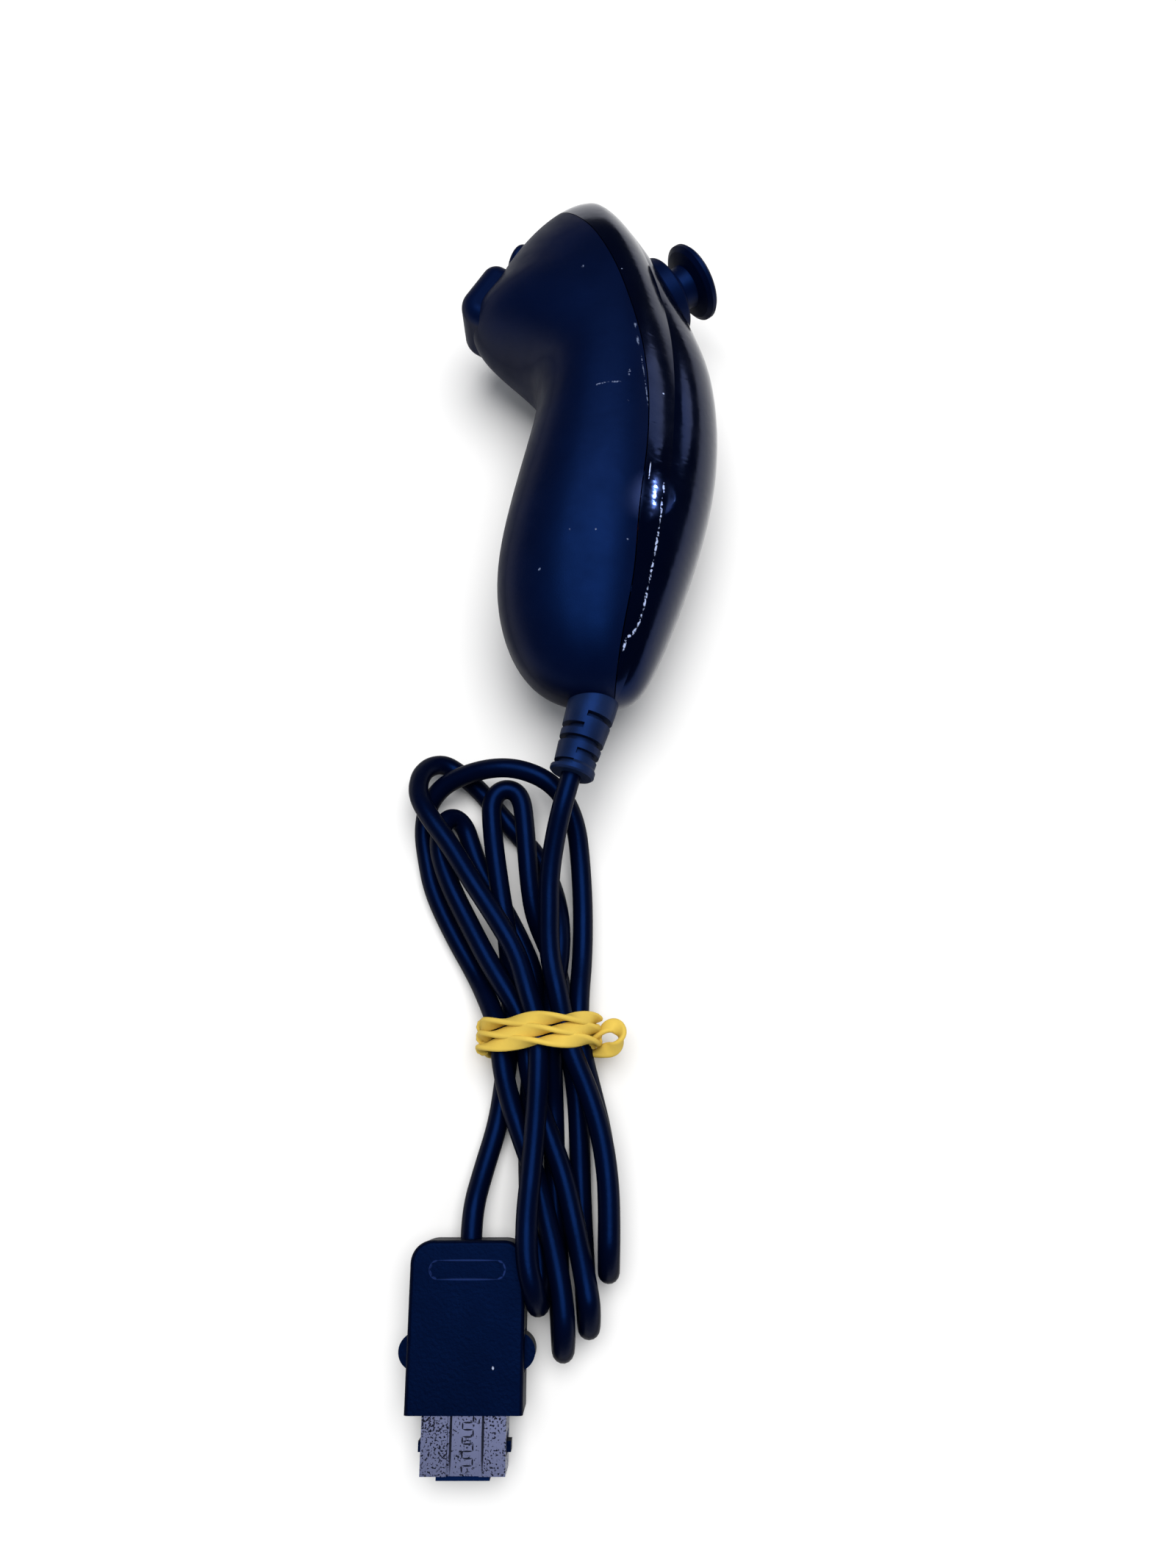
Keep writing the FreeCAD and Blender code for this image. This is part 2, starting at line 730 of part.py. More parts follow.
def stick_rockers():
    wall_inside = size.frame_side / 2 - size.frame_wall
    reach = size.frame_side / 2 - size.fit_gap
    yoke = block("yoke_block", stick, size.yoke_length, size.yoke_width, size.yoke_height,
                 up=-size.yoke_height / 2)
    slot = block("yoke_slot", stick, size.yoke_length - 2.4, size.yoke_slot, size.yoke_height + 2,
                 up=-size.yoke_height / 2 - 1)
    start = size.yoke_length / 2 - 0.5
    pin_hole = rod("yoke_pin_hole", stick, size.pivot_pin_radius + size.running_gap,
                   size.yoke_width + 2, along=-float(size.yoke_width) / 2 - 1, turn=TO_Y)
    yoke = join("yoke_whole", [yoke] + journals("yoke", TO_X, start, reach - start))
    keep("stick_yoke", cut("stick_yoke", yoke, join("yoke_cuts", [slot, pin_hole])))

    half_turn = Rotation(Vector(0, 1, 0), UP, Vector(1, 0, 0), "ZXY")
    band_start = place(stick, -float(size.arch_width) / 2, 0, 0, half_turn)
    outer = primitive("Cylinder", "arch_outer", band_start, Radius=size.arch_radius,
                      Height=size.arch_width, Angle=2 * QUARTER)
    inner = primitive("Cylinder", "arch_inner", place(band_start, 0, -1, -1),
                      Radius=size.arch_radius - size.arch_thickness, Height=size.arch_width + 2)
    start = size.arch_radius - size.arch_thickness
    ears = [rod("arch_ear_%d" % (sign + 2), stick, size.arch_width / 2 - 0.2, size.arch_thickness,
                0, sign * float(start + size.arch_thickness / 2)
                - float(size.arch_thickness) / 2, turn=TO_Y) for sign in (-1, 1)]
    arch = join("arch_whole", [cut("arch_ring", outer, inner)] + ears
                + journals("arch", TO_Y, start + 0.2, reach - start - 0.2))
    slot = block("arch_slot", stick, size.arch_slot, size.arch_radius * 1.36, size.arch_radius,
                 up=size.arch_radius / 2)
    keep("stick_arch", cut("stick_arch", arch, slot))


def stick_housing():
    height = size.board_drop + size.frame_top
    outer = block("frame_outer", stick, size.frame_side, size.frame_side, height, up=board_top)
    inner = block("frame_inner", stick, size.frame_side - size.frame_wall * 2,
                  size.frame_side - size.frame_wall * 2, height + 2, up=board_top - 1)
    holes = [primitive("Cylinder", "frame_hole_%s" % name,
                       place(stick, *[-float(size.frame_side) * way for way in spot], 0, turn),
                       Radius=size.journal_radius + size.running_gap, Height=size.frame_side * 2)
             for name, spot, turn in (("across", (1, 0), TO_X), ("along", (0, 1), TO_Y))]
    keep("stick_frame", cut("stick_frame", outer, join("frame_cuts", [inner] + holes)))

    inside = size.frame_side - size.frame_wall * 2
    plate = block("base_plate", stick, inside, inside, 0.8, up=board_top)
    peg = rod("base_peg", stick, size.spring_radius - size.spring_wire * 2, 1.6, up=board_top)
    keep("stick_base", join("stick_base", [plate, peg]))
    seat_top = -size.seat_drop
    keep("stick_seat", rod("stick_seat", stick, size.seat_radius, 0.8, up=seat_top - 0.8))
    low = float(board_top) + 0.8 + float(size.spring_wire)
    high = float(seat_top) - 0.8 - float(size.spring_wire)
    keep("stick_spring", coil("stick_spring", place(stick, up=low), size.spring_radius,
                              size.spring_wire, 4, high - low))
    side = size.frame_side / 2 + size.sensor_thickness / 2
    keep("stick_sensor_rear",
         block("stick_sensor_rear", stick, size.sensor_thickness, size.sensor_length,
               size.sensor_height, -float(side), 0, board_top))
    keep("stick_sensor_side",
         block("stick_sensor_side", stick, size.sensor_length, size.sensor_thickness,
               size.sensor_height, 0, side, board_top))


# Main board, its parts and its screws

def main_board():
    length = size.board_head_end + size.board_tail_end
    board = block("board_blank", stick, length, size.board_width, size.board_thickness,
                  float(size.board_head_end - size.board_tail_end) / 2, 0,
                  board_top - size.board_thickness)
    under = board_top - size.board_thickness
    holes = [rod("board_hole_%d" % number, stick, size.board_screw_radius + size.fit_gap,
                 size.board_thickness + 2, along, side, under - 1)
             for number, (along, side) in enumerate(board_posts, start=1)]
    keep("main_board", cut("main_board", board, join("board_holes", holes)))
    for number, (along, side) in enumerate(board_posts, start=1):
        keep("board_screw_%d" % number,
             screw("board_screw_%d" % number, place(stick, along, side, under),
                   size.board_screw_radius, size.board_screw_length, size.board_screw_radius * 1.9,
                   size.board_screw_radius))
    chip_height = 1.1
    keep("processor_chip", block("processor_chip", stick, 7.0, 7.0, chip_height,
                                 -1.0, 0, under - chip_height))
    sensor_height = 1.4
    keep("motion_sensor", block("motion_sensor", stick, 4.0, 5.0, sensor_height,
                                4.8, 4.2, under - sensor_height))
    can_height = 3.2
    cans = [rod("capacitor_%d" % number, stick, 1.5, can_height, -8.0, side, under - can_height)
            for number, side in enumerate((-5.0, 0.0, 5.0), start=1)]
    keep("board_capacitors", join("board_capacitors", cans))
    keep("cord_connector", block("cord_connector", stick, 4.0, 6.0, 3.0,
                                 2.0 - float(size.board_tail_end), 0, under - 3.0))


# How far the cord reaches into the tail
CORE_END = 13.0
# Places across, along and above the middle height, drawn on the casing
WIRE_WAY = ((7.2, -34.5, -5.9), (9.0, -21.0, -7.5), (11.5, -7.0, -6.9), (15.2, 1.2, -3.3))


def wire_route():
    """From the end of the cord inside the tail, under the screw posts, to the connector."""
    start = place(tail, up=-CORE_END).Base
    exit_way = -tail.Rotation.multVec(UP)
    first = start + exit_way * 3.0
    end = place(stick, -float(size.board_tail_end), 0,
                float(board_top - size.board_thickness) - 1.5).Base
    last = end - stick.Rotation.multVec(Vector(1, 0, 0)) * 5.0
    inside = [stretched(along, across, rise) for across, along, rise in WIRE_WAY]
    way = [start, first] + [Vector(x, y, z + float(mid_height)) for y, x, z in inside]
    return [(point.x, point.y, point.z) for point in way + [last, end]]


def cord_wires():
    pieces = []
    route = wire_route()
    for number in range(4):
        lift = (number - 1.5) * float(size.wire_pitch)
        raised = [(x, y, z + lift) for x, y, z in route]
        pieces.append(tube("cord_wire_%d" % (number + 1),
                           rounded_route("cord_wire_%d" % (number + 1), raised),
                           size.wire_radius))
    bundle = doc.addObject("Part::Compound", "cord_wires")
    bundle.Links = pieces
    keep("cord_wires", bundle)


# Buttons on the front face, with their board

def trigger():
    length = size.trigger_high + size.trigger_low
    middle = float(size.trigger_low - size.trigger_high) / 2
    half_width = float(size.trigger_width) / 2
    high, low = -float(size.trigger_high), float(size.trigger_low)
    body = block("trigger_block", face, length, size.trigger_width,
                 size.trigger_top + size.trigger_depth, middle, 0, -size.trigger_depth)

    def at_corner(edge, place_along):
        middle_point = local(face, edge.CenterOfMass)
        return (along_axis(edge, face, Vector(0, 1, 0)) and middle_point.z > 0
                and abs(middle_point.x - place_along) < 0.01)

    body = rounded("trigger_low_corner", body, size.trigger_corner,
                   lambda edge: at_corner(edge, low))
    body = rounded("trigger_high_corner", body, size.trigger_edge + 0.2,
                   lambda edge: at_corner(edge, high))

    def on_side(edge):
        spots = [local(face, vertex.Point) for vertex in edge.Vertexes]
        return (all(abs(abs(spot.y) - half_width) < 0.01 for spot in spots)
                and max(spot.z for spot in spots) > 1 - float(size.trigger_depth)
                and abs(spots[0].y - spots[-1].y) < 0.01)

    body = rounded("trigger_sides", body, size.trigger_edge, on_side)
    flange = block("trigger_flange", face, size.trigger_high + size.flange_end + size.flange_lip,
                   size.trigger_width + size.flange_lip * 2, size.flange_thickness,
                   float(size.flange_end - size.trigger_high - size.flange_lip) / 2, 0,
                   -size.trigger_depth)
    keep("z_button", join("z_button", [body, flange]))


def small_button():
    spot = -float(size.small_button_place)
    low = -float(size.small_button_depth)
    body = oval("small_button_body", face, size.small_button_width, size.small_button_length,
                size.small_button_depth + size.small_button_top, spot, low)
    body = rounded("small_button_round", body, 1.1,
                   lambda edge: local(face, edge.CenterOfMass).z
                   > float(size.small_button_top) - 0.1)
    lip = size.flange_lip * 2
    flange = oval("small_button_flange", face, size.small_button_width + lip,
                  size.small_button_length + lip, size.flange_thickness, spot, low)
    stem_low = -(size.switch_depth - size.small_button_travel - size.fit_gap)
    stem = rod("small_button_stem", face, 1.5, low - stem_low, spot, 0, stem_low)
    keep("c_button", join("c_button", [body, flange, stem]))


def button_board():
    thickness = size.button_board_thickness
    under = button_board_top - thickness
    length = 23.0
    middle = -4.0
    board = block("button_board_blank", face, length, size.button_board_width, thickness,
                  middle, 0, under)
    holes = [rod("button_board_hole_%d" % number, face, size.board_screw_radius + size.fit_gap,
                 thickness + 2, along, side, under - 1)
             for number, (along, side) in enumerate(button_posts, start=1)]
    keep("button_board", cut("button_board", board, join("button_board_holes", holes)))
    for number, (along, side) in enumerate(button_posts, start=1):
        keep("button_screw_%d" % number,
             screw("button_screw_%d" % number, place(face, along, side, under),
                   size.board_screw_radius, size.board_screw_length, size.board_screw_radius * 1.9,
                   size.board_screw_radius))
    for name, spot in (("z_switch", 2.5), ("c_switch", -float(size.small_button_place))):
        case = block(name + "_case", face, size.switch_radius * 2.4, size.switch_radius * 2.4,
                     size.switch_height / 2, spot, 0, button_board_top)
        dome = primitive("Cone", name + "_dome",
                         place(face, spot, 0, button_board_top + size.switch_height / 2),
                         Radius1=size.switch_radius, Radius2=size.switch_radius / 2,
                         Height=size.switch_height / 2)
        keep(name, join(name, [case, dome]))
    board_back = place(face, -9.0, 0, under).Base
    low_end, high_end = [place(stick, float(size.board_head_end), 0,
                               board_top - size.board_thickness / 2 + step).Base
                         for step in (-0.2, 0.2)]
    ribbon = [(board_back.x, board_back.y), (board_back.x + 1.8, board_back.y - 2.4),
              (low_end.x, low_end.y), (high_end.x, high_end.y),
              (board_back.x + 1.9, board_back.y - 1.9),
              (board_back.x + 0.3, board_back.y + 0.4)]
    keep("button_cable", padded("button_cable", place(Placement(), up=mid_height), ribbon, 6.0,
                                midplane=True))


# Strain relief, with the end of the cord inside the tail

RELIEF_SLOTS = ((2.6, 1), (5.0, -1), (7.4, 0), (9.8, 1), (12.0, -1))
SLOT_WIDTH = 1.1


def strain_relief():
    length = size.relief_length
    seat = -size.relief_seat
    taper = size.relief_radius - size.relief_end_radius
    flange_start = length - 1.3
    outline = [(0, seat - size.relief_collar), (size.relief_collar_radius, seat - size.relief_collar),
               (size.relief_collar_radius, seat), (size.relief_radius, seat),
               (size.relief_radius, 0.8), (size.relief_end_radius, flange_start - 0.6),
               (size.relief_end_radius + 0.35, flange_start),
               (size.relief_end_radius + 0.35, length - 0.3),
               (size.relief_end_radius, length), (0, length)]
    boot = turned("relief_turned", tail, outline)
    slots = []
    for number, (spot, side) in enumerate(RELIEF_SLOTS, start=1):
        outer = rod("relief_slot_outer_%d" % number, tail, size.relief_radius * 2, SLOT_WIDTH,
                    up=spot)
        inner = rod("relief_slot_inner_%d" % number, tail, size.relief_groove_radius,
                    SLOT_WIDTH + 2, up=spot - 1)
        slot = cut("relief_slot_%d" % number, outer, inner)
        if side:
            half = block("relief_slot_half_%d" % number, tail, size.relief_radius * 2,
                         size.relief_radius * 4, SLOT_WIDTH + 2, side * float(size.relief_radius),
                         0, spot - 1)
            slot = common("relief_slot_side_%d" % number, [slot, half])
        slots.append(slot)
    keep("strain_relief", cut("strain_relief", boot, join("relief_slots", slots)))
    collar_back = -(size.relief_seat + size.relief_collar)
    core = rod("cord_core", tail, size.cord_radius, CORE_END + float(collar_back),
               up=-CORE_END)
    keep("cord_core", core)
    ring = rod("cord_clamp_ring", tail, size.cord_radius + 1, 3.0, up=collar_back - 3)
    hole = rod("cord_clamp_hole", tail, size.cord_radius, 5.0, up=collar_back - 4)
    keep("cord_clamp", cut("cord_clamp", ring, hole))


# Cord: lead from the strain relief, folded hank, and tail to the plug

LEAD_POINTS = (
    (-4.25, -73.9, 19.1), (-5.9, -80.4, 16.7), (-7, -87.4, 14.6), (-7, -94.2, 13.4),
)
# The legs of the hank, each from one turn to the next, as the cord runs from lead to tail
HANK_LEGS = (
    ((-7, -94.2, 13.4), (-7, -98.1, 12.7), (-6.6, -102.6, 12.2), (-5.4, -107.6, 11.9),
     (-4, -114.7, 10.1), (-2.2, -119.7, 10.2), (0, -124.7, 10.3), (2.4, -132.1, 10.4),
     (3.5, -140, 10.4), (3.6, -146.9, 10.3), (3.5, -150.9, 10.2), (3.5, -155.1, 6.2)),
    ((3.5, -151.3, 2.2), (3.6, -145.2, 2.2), (3.4, -138, 2.6), (2.3, -130.9, 4.2),
     (0.7, -124.8, 5.7), (-0.9, -118.8, 6.1), (-1.7, -113.8, 6.2), (-1.6, -107.7, 6.2),
     (-1, -100.5, 5.2), (-0.9, -91.4, 5.2), (-1.4, -82.5, 6), (-2.2, -75.9, 7.8),
     (-4.5, -70.8, 9.6), (-7.9, -67.5, 10.2), (-12.9, -65.4, 10.2), (-17.8, -65, 9.8),
     (-23, -65.7, 8.2), (-27.8, -67.4, 6.2), (-30.9, -70.7, 4), (-31.8, -75.4, 2.5)),
    ((-30.8, -81.4, 2.1), (-29.3, -87.6, 2.1), (-25.2, -95.8, 2.1), (-20.5, -103.6, 2.4),
     (-17.7, -109.5, 4.4), (-15.8, -114.3, 6.2), (-15.2, -120.4, 6.6), (-13.7, -126.4, 6.7),
     (-11.5, -132.5, 6.5), (-9.1, -138.5, 6.5), (-7.2, -145, 7.8), (-5.5, -151.4, 9.4),
     (-4.2, -157.8, 10.2), (-3.8, -162.8, 10.2), (-4.1, -167.2, 6.2)),
    ((-4.5, -163.7, 2.2), (-5.15, -153.4, 2.1), (-5.8, -142.1, 2.1), (-6, -132.8, 2.1),
     (-6.2, -126.7, 2.4), (-6.4, -120.7, 4.2), (-6.6, -114.3, 6.2), (-6.2, -107.4, 7),
     (-5.3, -101.8, 7), (-5, -96.8, 7), (-5.5, -91.5, 5.8), (-7, -85.9, 3.4),
     (-9.7, -80.4, 2.2), (-13.4, -76.3, 2.1), (-17.5, -71.6, 2.1), (-21, -67.3, 2.3),
     (-24.6, -64.2, 2.8), (-28.5, -62, 4), (-32, -64.5, 6.5), (-32.4, -70, 9.4)),
    ((-29.8, -74.9, 11), (-25.6, -80.4, 11.2), (-21.7, -86.8, 11.3), (-16.7, -94.2, 11.3),
     (-12.8, -100.6, 11.2), (-10.7, -107.5, 11.1), (-8.8, -113.8, 10.2), (-8.6, -120.3, 11),
     (-8.9, -129.2, 11.2), (-9.7, -139, 11.2), (-10.1, -143.5, 12.3), (-10.2, -147.8, 13.4),
     (-10, -152.3, 13.7), (-8.9, -156.5, 13.3), (-8.1, -159.7, 9.4)),
    ((-8.1, -156.4, 5.4), (-8.2, -151.6, 5.2), (-8.8, -148.6, 4.8), (-9.8, -145, 3.6),
     (-10.4, -140.6, 2.2), (-10.6, -130.8, 2.1), (-10.4, -122.6, 2.1), (-9.2, -113.8, 2.1),
     (-9.4, -107.1, 2.1), (-10.4, -102, 2.1), (-12.7, -96.9, 2.1), (-15.4, -91.7, 2.1),
     (-18.5, -86.6, 2.1), (-21.2, -82, 2.1), (-22.6, -77.9, 2.2)),
    ((-23.8, -74.5, 3), (-25.9, -73.2, 4.7), (-27.7, -75.2, 6.3), (-28.2, -78.9, 6.8),
     (-27.4, -82.9, 6.8), (-25.3, -88.2, 6.8), (-21.8, -94.8, 6.9), (-18.5, -100.9, 7.4),
     (-15.4, -105.9, 7.2), (-12.6, -110.3, 6.4), (-11.1, -114.3, 6.2), (-10.5, -120.9, 6.6),
     (-8.8, -126.9, 6.9), (-6.3, -133, 6.8), (-4.1, -139, 6.8), (-2.4, -146, 7.2),
     (-1.0, -152.4, 9), (-0.1, -156.8, 10.2), (0.3, -159.3, 10.2), (0.2, -163.7, 6.2)),
    ((-0.2, -160.1, 2.2), (-0.8, -151.3, 2.1), (-1.3, -141.1, 2.1), (-1.5, -132.8, 2.1),
     (-1.8, -126.7, 2.1), (-2.5, -120.5, 2.1), (-4.4, -113.8, 2.1), (-4.8, -107.1, 2.1),
     (-5.7, -102, 2.3), (-8, -97.1, 3.2), (-10, -92.5, 5.7), (-10.9, -86.7, 6.7),
     (-11.6, -79.6, 6.6), (-12.1, -74.6, 6.6)),
    ((-12.5, -71.2, 6.6), (-13.6, -69, 6.6), (-15.5, -68.2, 6.6), (-17.4, -69, 6.6),
     (-18.5, -71.3, 6.6), (-18.2, -75.6, 6.6), (-17.6, -80.6, 6.6), (-16.3, -88.7, 6.6),
     (-15, -95.7, 6.4), (-14.5, -100.4, 4.9), (-14.1, -105.1, 2.5), (-14, -111.8, 2.1),
     (-14.3, -116.5, 2), (-14.8, -120.5, 2.1)),
)
TAIL_POINTS = (
    (-14.8, -120.5, 2.1), (-15.9, -129.4, 2.3), (-18.4, -138, 3.6), (-19.9, -144.4, 5.75),
    (-19.9, -148.8, 5.75),
)
WAIST = -114.5
WAIST_REACH = 12.0
FLOOR_REACH = 2.5
STRAIGHT = 1e-4
BAND_GAP = 0.2


def waist_lift(along):
    """How far the band under the hank lifts its legs near the waist."""
    return max(0.0, 1 - ((along - WAIST) / WAIST_REACH) ** 2) * float(size.band_thickness)


def lifted(point):
    x, y, z = point
    return Vector(x, y, z + waist_lift(y))


def arc_from(start, direction, end):
    """The arc that leaves a point in a direction and reaches another one."""
    chord = end - start
    angle = direction.getAngle(chord)
    if angle < STRAIGHT:
        return Part.LineSegment(start, end).toShape()
    along = Vector(chord).normalize()
    side = (direction - along * direction.dot(along)).normalize()
    crest = (start + end) * 0.5 + side * (chord.Length / 2 * math.tan(angle / 2))
    return Part.Arc(start, crest, end).toShape()


def two_arcs(start, leaving, end, arriving):
    """Two tangent arcs between two points with given directions."""
    chord = end - start
    spread = 2 * (1 - leaving.dot(arriving))
    pull = chord.dot(leaving + arriving)
    if spread < STRAIGHT:
        reach = chord.dot(chord) / (4 * chord.dot(arriving))
    else:
        reach = (math.sqrt(pull * pull + spread * chord.dot(chord)) - pull) / spread
    middle = (start + end + (leaving - arriving) * reach) * 0.5
    last = arc_from(end, arriving * -1, middle)
    return [arc_from(start, leaving, middle), last]


def smooth_route(points):
    """A smooth path of arcs through the points, straight over its first and last runs."""
    runs = [after - before for before, after in zip(points, points[1:])]
    directions = [Vector(runs[0]).normalize()]
    for before, after in zip(runs, runs[1:]):
        swing = before * (after.Length / before.Length) + after * (before.Length / after.Length)
        directions.append(swing.normalize())
    directions.append(Vector(runs[-1]).normalize())
    directions[1], directions[-2] = directions[0], directions[-1]
    for point, direction in zip(points, directions):
        if point.z - waist_lift(point.y) < FLOOR_REACH:
            direction.z = 0
            direction.normalize()
    edges = [Part.LineSegment(points[0], points[1]).toShape()]
    for number in range(1, len(points) - 2):
        edges += two_arcs(points[number], directions[number], points[number + 1],
                          directions[number + 1])
    edges.append(Part.LineSegment(points[-2], points[-1]).toShape())
    return edges


def hank_samples(path, step=1.5):
    return path.discretize(Number=int(path.Length / step))


def least_gap(samples, spacing, apart=14.0):
    """The least distance between stretches of the cord that lie apart along it."""
    skip = int(apart / spacing)
    nearest = min(first.distanceToPoint(second)
                  for number, first in enumerate(samples)
                  for second in samples[number + skip:])
    return nearest - 2 * float(size.cord_radius)


def cord_lead():
    start = place(tail, up=float(size.relief_length)).Base
    points = [(start.x, start.y, start.z)] + list(LEAD_POINTS)
    keep("cord_lead", tube("cord_lead", rounded_route("cord_lead", points), size.cord_radius))


def cord_tail():
    points = [lifted(point) for point in TAIL_POINTS]
    keep("cord_tail", tube("cord_tail", rounded_route("cord_tail", points), size.cord_radius))


def cord_hank():
    edges = smooth_route([lifted(point) for leg in HANK_LEGS for point in leg])
    keep("cord_hank", tube("cord_hank", edges, size.cord_radius))
    path = Part.Wire(edges)
    samples = hank_samples(path)
    radii = [edge.Curve.Radius for edge in edges if isinstance(edge.Curve, Part.Circle)]
    print("cord_hank least radius %.2f, least gap %.2f" % (
        min(radii), least_gap(samples, path.Length / len(samples))))
    return samples


def outer_points(spots):
    """The corners of the tightest convex outline round some points."""
    spots = sorted(set(spots))
    corners = []
    for way in (spots, spots[::-1]):
        chain = []
        for spot in way:
            while len(chain) > 1 and ((chain[-1][0] - chain[-2][0]) * (spot[1] - chain[-2][1])
                                      <= (chain[-1][1] - chain[-2][1]) * (spot[0] - chain[-2][0])):
                chain.pop()
            chain.append(spot)
        corners += chain[:-1]
    return corners


def cord_band(samples):
    """The rubber band round the hank's waist, as one closed ring."""
    half = float(size.band_width) / 2
    inside = [(round(spot.x, 1), round(spot.z, 1)) for spot in samples
              if abs(spot.y - WAIST) < half + 1]
    front = WAIST - half
    corners = [Vector(x, front, z) for x, z in outer_points(inside)]
    line = Part.Wire(Part.makePolygon(corners + corners[:1]))
    snug = float(size.cord_radius) + BAND_GAP
    inner = line.makeOffset2D(snug)
    outer = line.makeOffset2D(snug + float(size.band_thickness) - BAND_GAP * 2)
    ring = Part.Face(outer).cut(Part.Face(inner)).extrude(Vector(0, 2 * half, 0))
    keep("cord_band", made("cord_band", ring))


# Plug: covers, metal nose, insert, latches

def plug_block(name, width, length, height, across, start, up):
    """A box in the plug, counted from the cord's end towards the nose."""
    return block(name, plug, width, length, height, across,
                 -(float(start) + float(length) / 2), up)


def plug_covers():
    wall = size.plug_wall
    whole = plug_block("plug_whole", size.plug_width, size.plug_length, size.plug_height, 0, 0, 0)

    def rear_corner(edge):
        return along_axis(edge, plug, UP) and local(plug, edge.CenterOfMass).y > -1

    whole = rounded("plug_corners", whole, size.plug_corner, rear_corner)
    whole = rounded("plug_edges", whole, size.plug_edge,
                    lambda edge: abs(local(plug, edge.CenterOfMass).z - float(plug_middle))
                    > float(plug_middle) - 0.05 and local(plug, edge.CenterOfMass).y > -26)
    room = plug_block("plug_room", size.plug_width - wall * 2, size.plug_length - wall * 2 - 1,
                      size.plug_height - wall * 2, 0, wall + 1, wall)
    mouth = plug_block("plug_mouth", size.nose_width, wall * 4, size.nose_height, 0,
                       size.plug_length - wall * 3, plug_middle - size.nose_height / 2)
    bore = primitive("Cylinder", "plug_bore", place(plug, 0, 1, plug_middle, BACKWARD * TO_Y),
                     Radius=size.cord_radius, Height=6.0)
    side_opening = size.latch_round * 2 + size.moving_gap * 2
    sides = plug_block("plug_side_openings", size.plug_width + 4, side_opening,
                       size.latch_height + size.moving_gap * 2, 0,
                       size.latch_place - side_opening / 2,
                       plug_middle - size.latch_height / 2 - size.moving_gap)
    recess_ends = [rod("recess_end_%d" % (sign + 2), plug, 1.35, 2.0, sign * 4.6 - 0.3, -4.55,
                       size.plug_height - 0.4) for sign in (-1, 1)]
    recess = join("plug_recess", recess_ends + [block("recess_middle", plug, 9.2, 2.7, 2.0, -0.3,
                                                      -4.55, size.plug_height - 0.4)])
    hollow = cut("plug_hollow", whole, join("plug_cuts", [room, mouth, bore, sides, recess]))
    split_gap = size.parting_gap / 4
    top_half = block("plug_top_half", plug, 40, 80, 20, 0, 0, plug_middle + split_gap)
    low_half = block("plug_low_half", plug, 40, 80, 20, 0, 0, plug_middle - 20)
    pins = [rod("latch_pin_%d" % (sign + 2), plug, size.latch_pin_radius,
                size.plug_height - wall * 2 - 0.4, sign * float(size.latch_pivot_side),
                -float(size.latch_pivot), wall - 0.2) for sign in (-1, 1)]
    board_rest = plug_block("plug_board_rest", 7.0, 6.0, float(plug_middle) - 0.75 - float(wall)
                            + 0.2, 0, 11.0, wall - 0.2)
    keep("plug_top_cover", common("plug_top_cover", [hollow, top_half]))
    keep("plug_bottom_cover", join("plug_bottom_cover",
                                   [common("plug_bottom_half", [hollow, low_half])] + pins
                                   + [board_rest]))


def nose_outline(inset):
    """The nose's section, with a shallow channel along its top and its underside."""
    half = size.nose_width / 2 - inset
    height = size.nose_height / 2 - inset
    channel = size.nose_channel / 2 + inset
    floor = height - size.nose_step
    corners = [(half, -height), (half, height), (channel, height), (channel, floor),
               (-channel, floor), (-channel, height), (-half, height), (-half, -height),
               (-channel, -height), (-channel, -floor), (channel, -floor), (channel, -height)]
    return corners


def plug_nose():
    end = place(plug, 0, -float(size.nose_end), plug_middle)
    outer = padded("nose_outer", end, nose_outline(0), size.nose_end - size.nose_start,
                   role="XZ_Plane")
    inner = padded("nose_inner", end, nose_outline(float(size.nose_sheet)),
                   size.nose_end - size.nose_start, role="XZ_Plane")
    for body in (outer, inner):
        body.Tip.Reversed = True
    hook_slot = plug_block("hook_slot", size.nose_width + 4, 3.4, size.latch_height, 0,
                           size.hook_place - 1.9, plug_middle - size.latch_height / 2)
    keep("plug_shell", cut("plug_shell", outer, inner, hook_slot))
    insert_height = size.nose_height - (size.nose_step + size.nose_sheet) * 2
    insert = plug_block("insert_block", size.insert_width, size.tip_end - size.nose_start + 0.6,
                        insert_height, 0, size.nose_start - 0.6, plug_middle - insert_height / 2)
    slot = plug_block("insert_slot", size.insert_width - 2, 12.0, 2.6, 0, size.tip_end - 11.0,
                      plug_middle - 1.3)
    keep("plug_insert", cut("plug_insert", insert, slot))
    strips = [plug_block("contact_%d" % number, 0.8, 10.0, 0.3, (number % 3 - 1) * 2.0,
                         size.tip_end - 10.6, plug_middle + (1.0 if number < 3 else -1.3))
              for number in range(6)]
    keep("plug_contacts", join("plug_contacts", strips))
    keep("plug_board", plug_block("plug_board", 8.0, size.nose_start - 0.6 - 10.5, 1.0, 0, 10.5,
                                  plug_middle - 0.75))


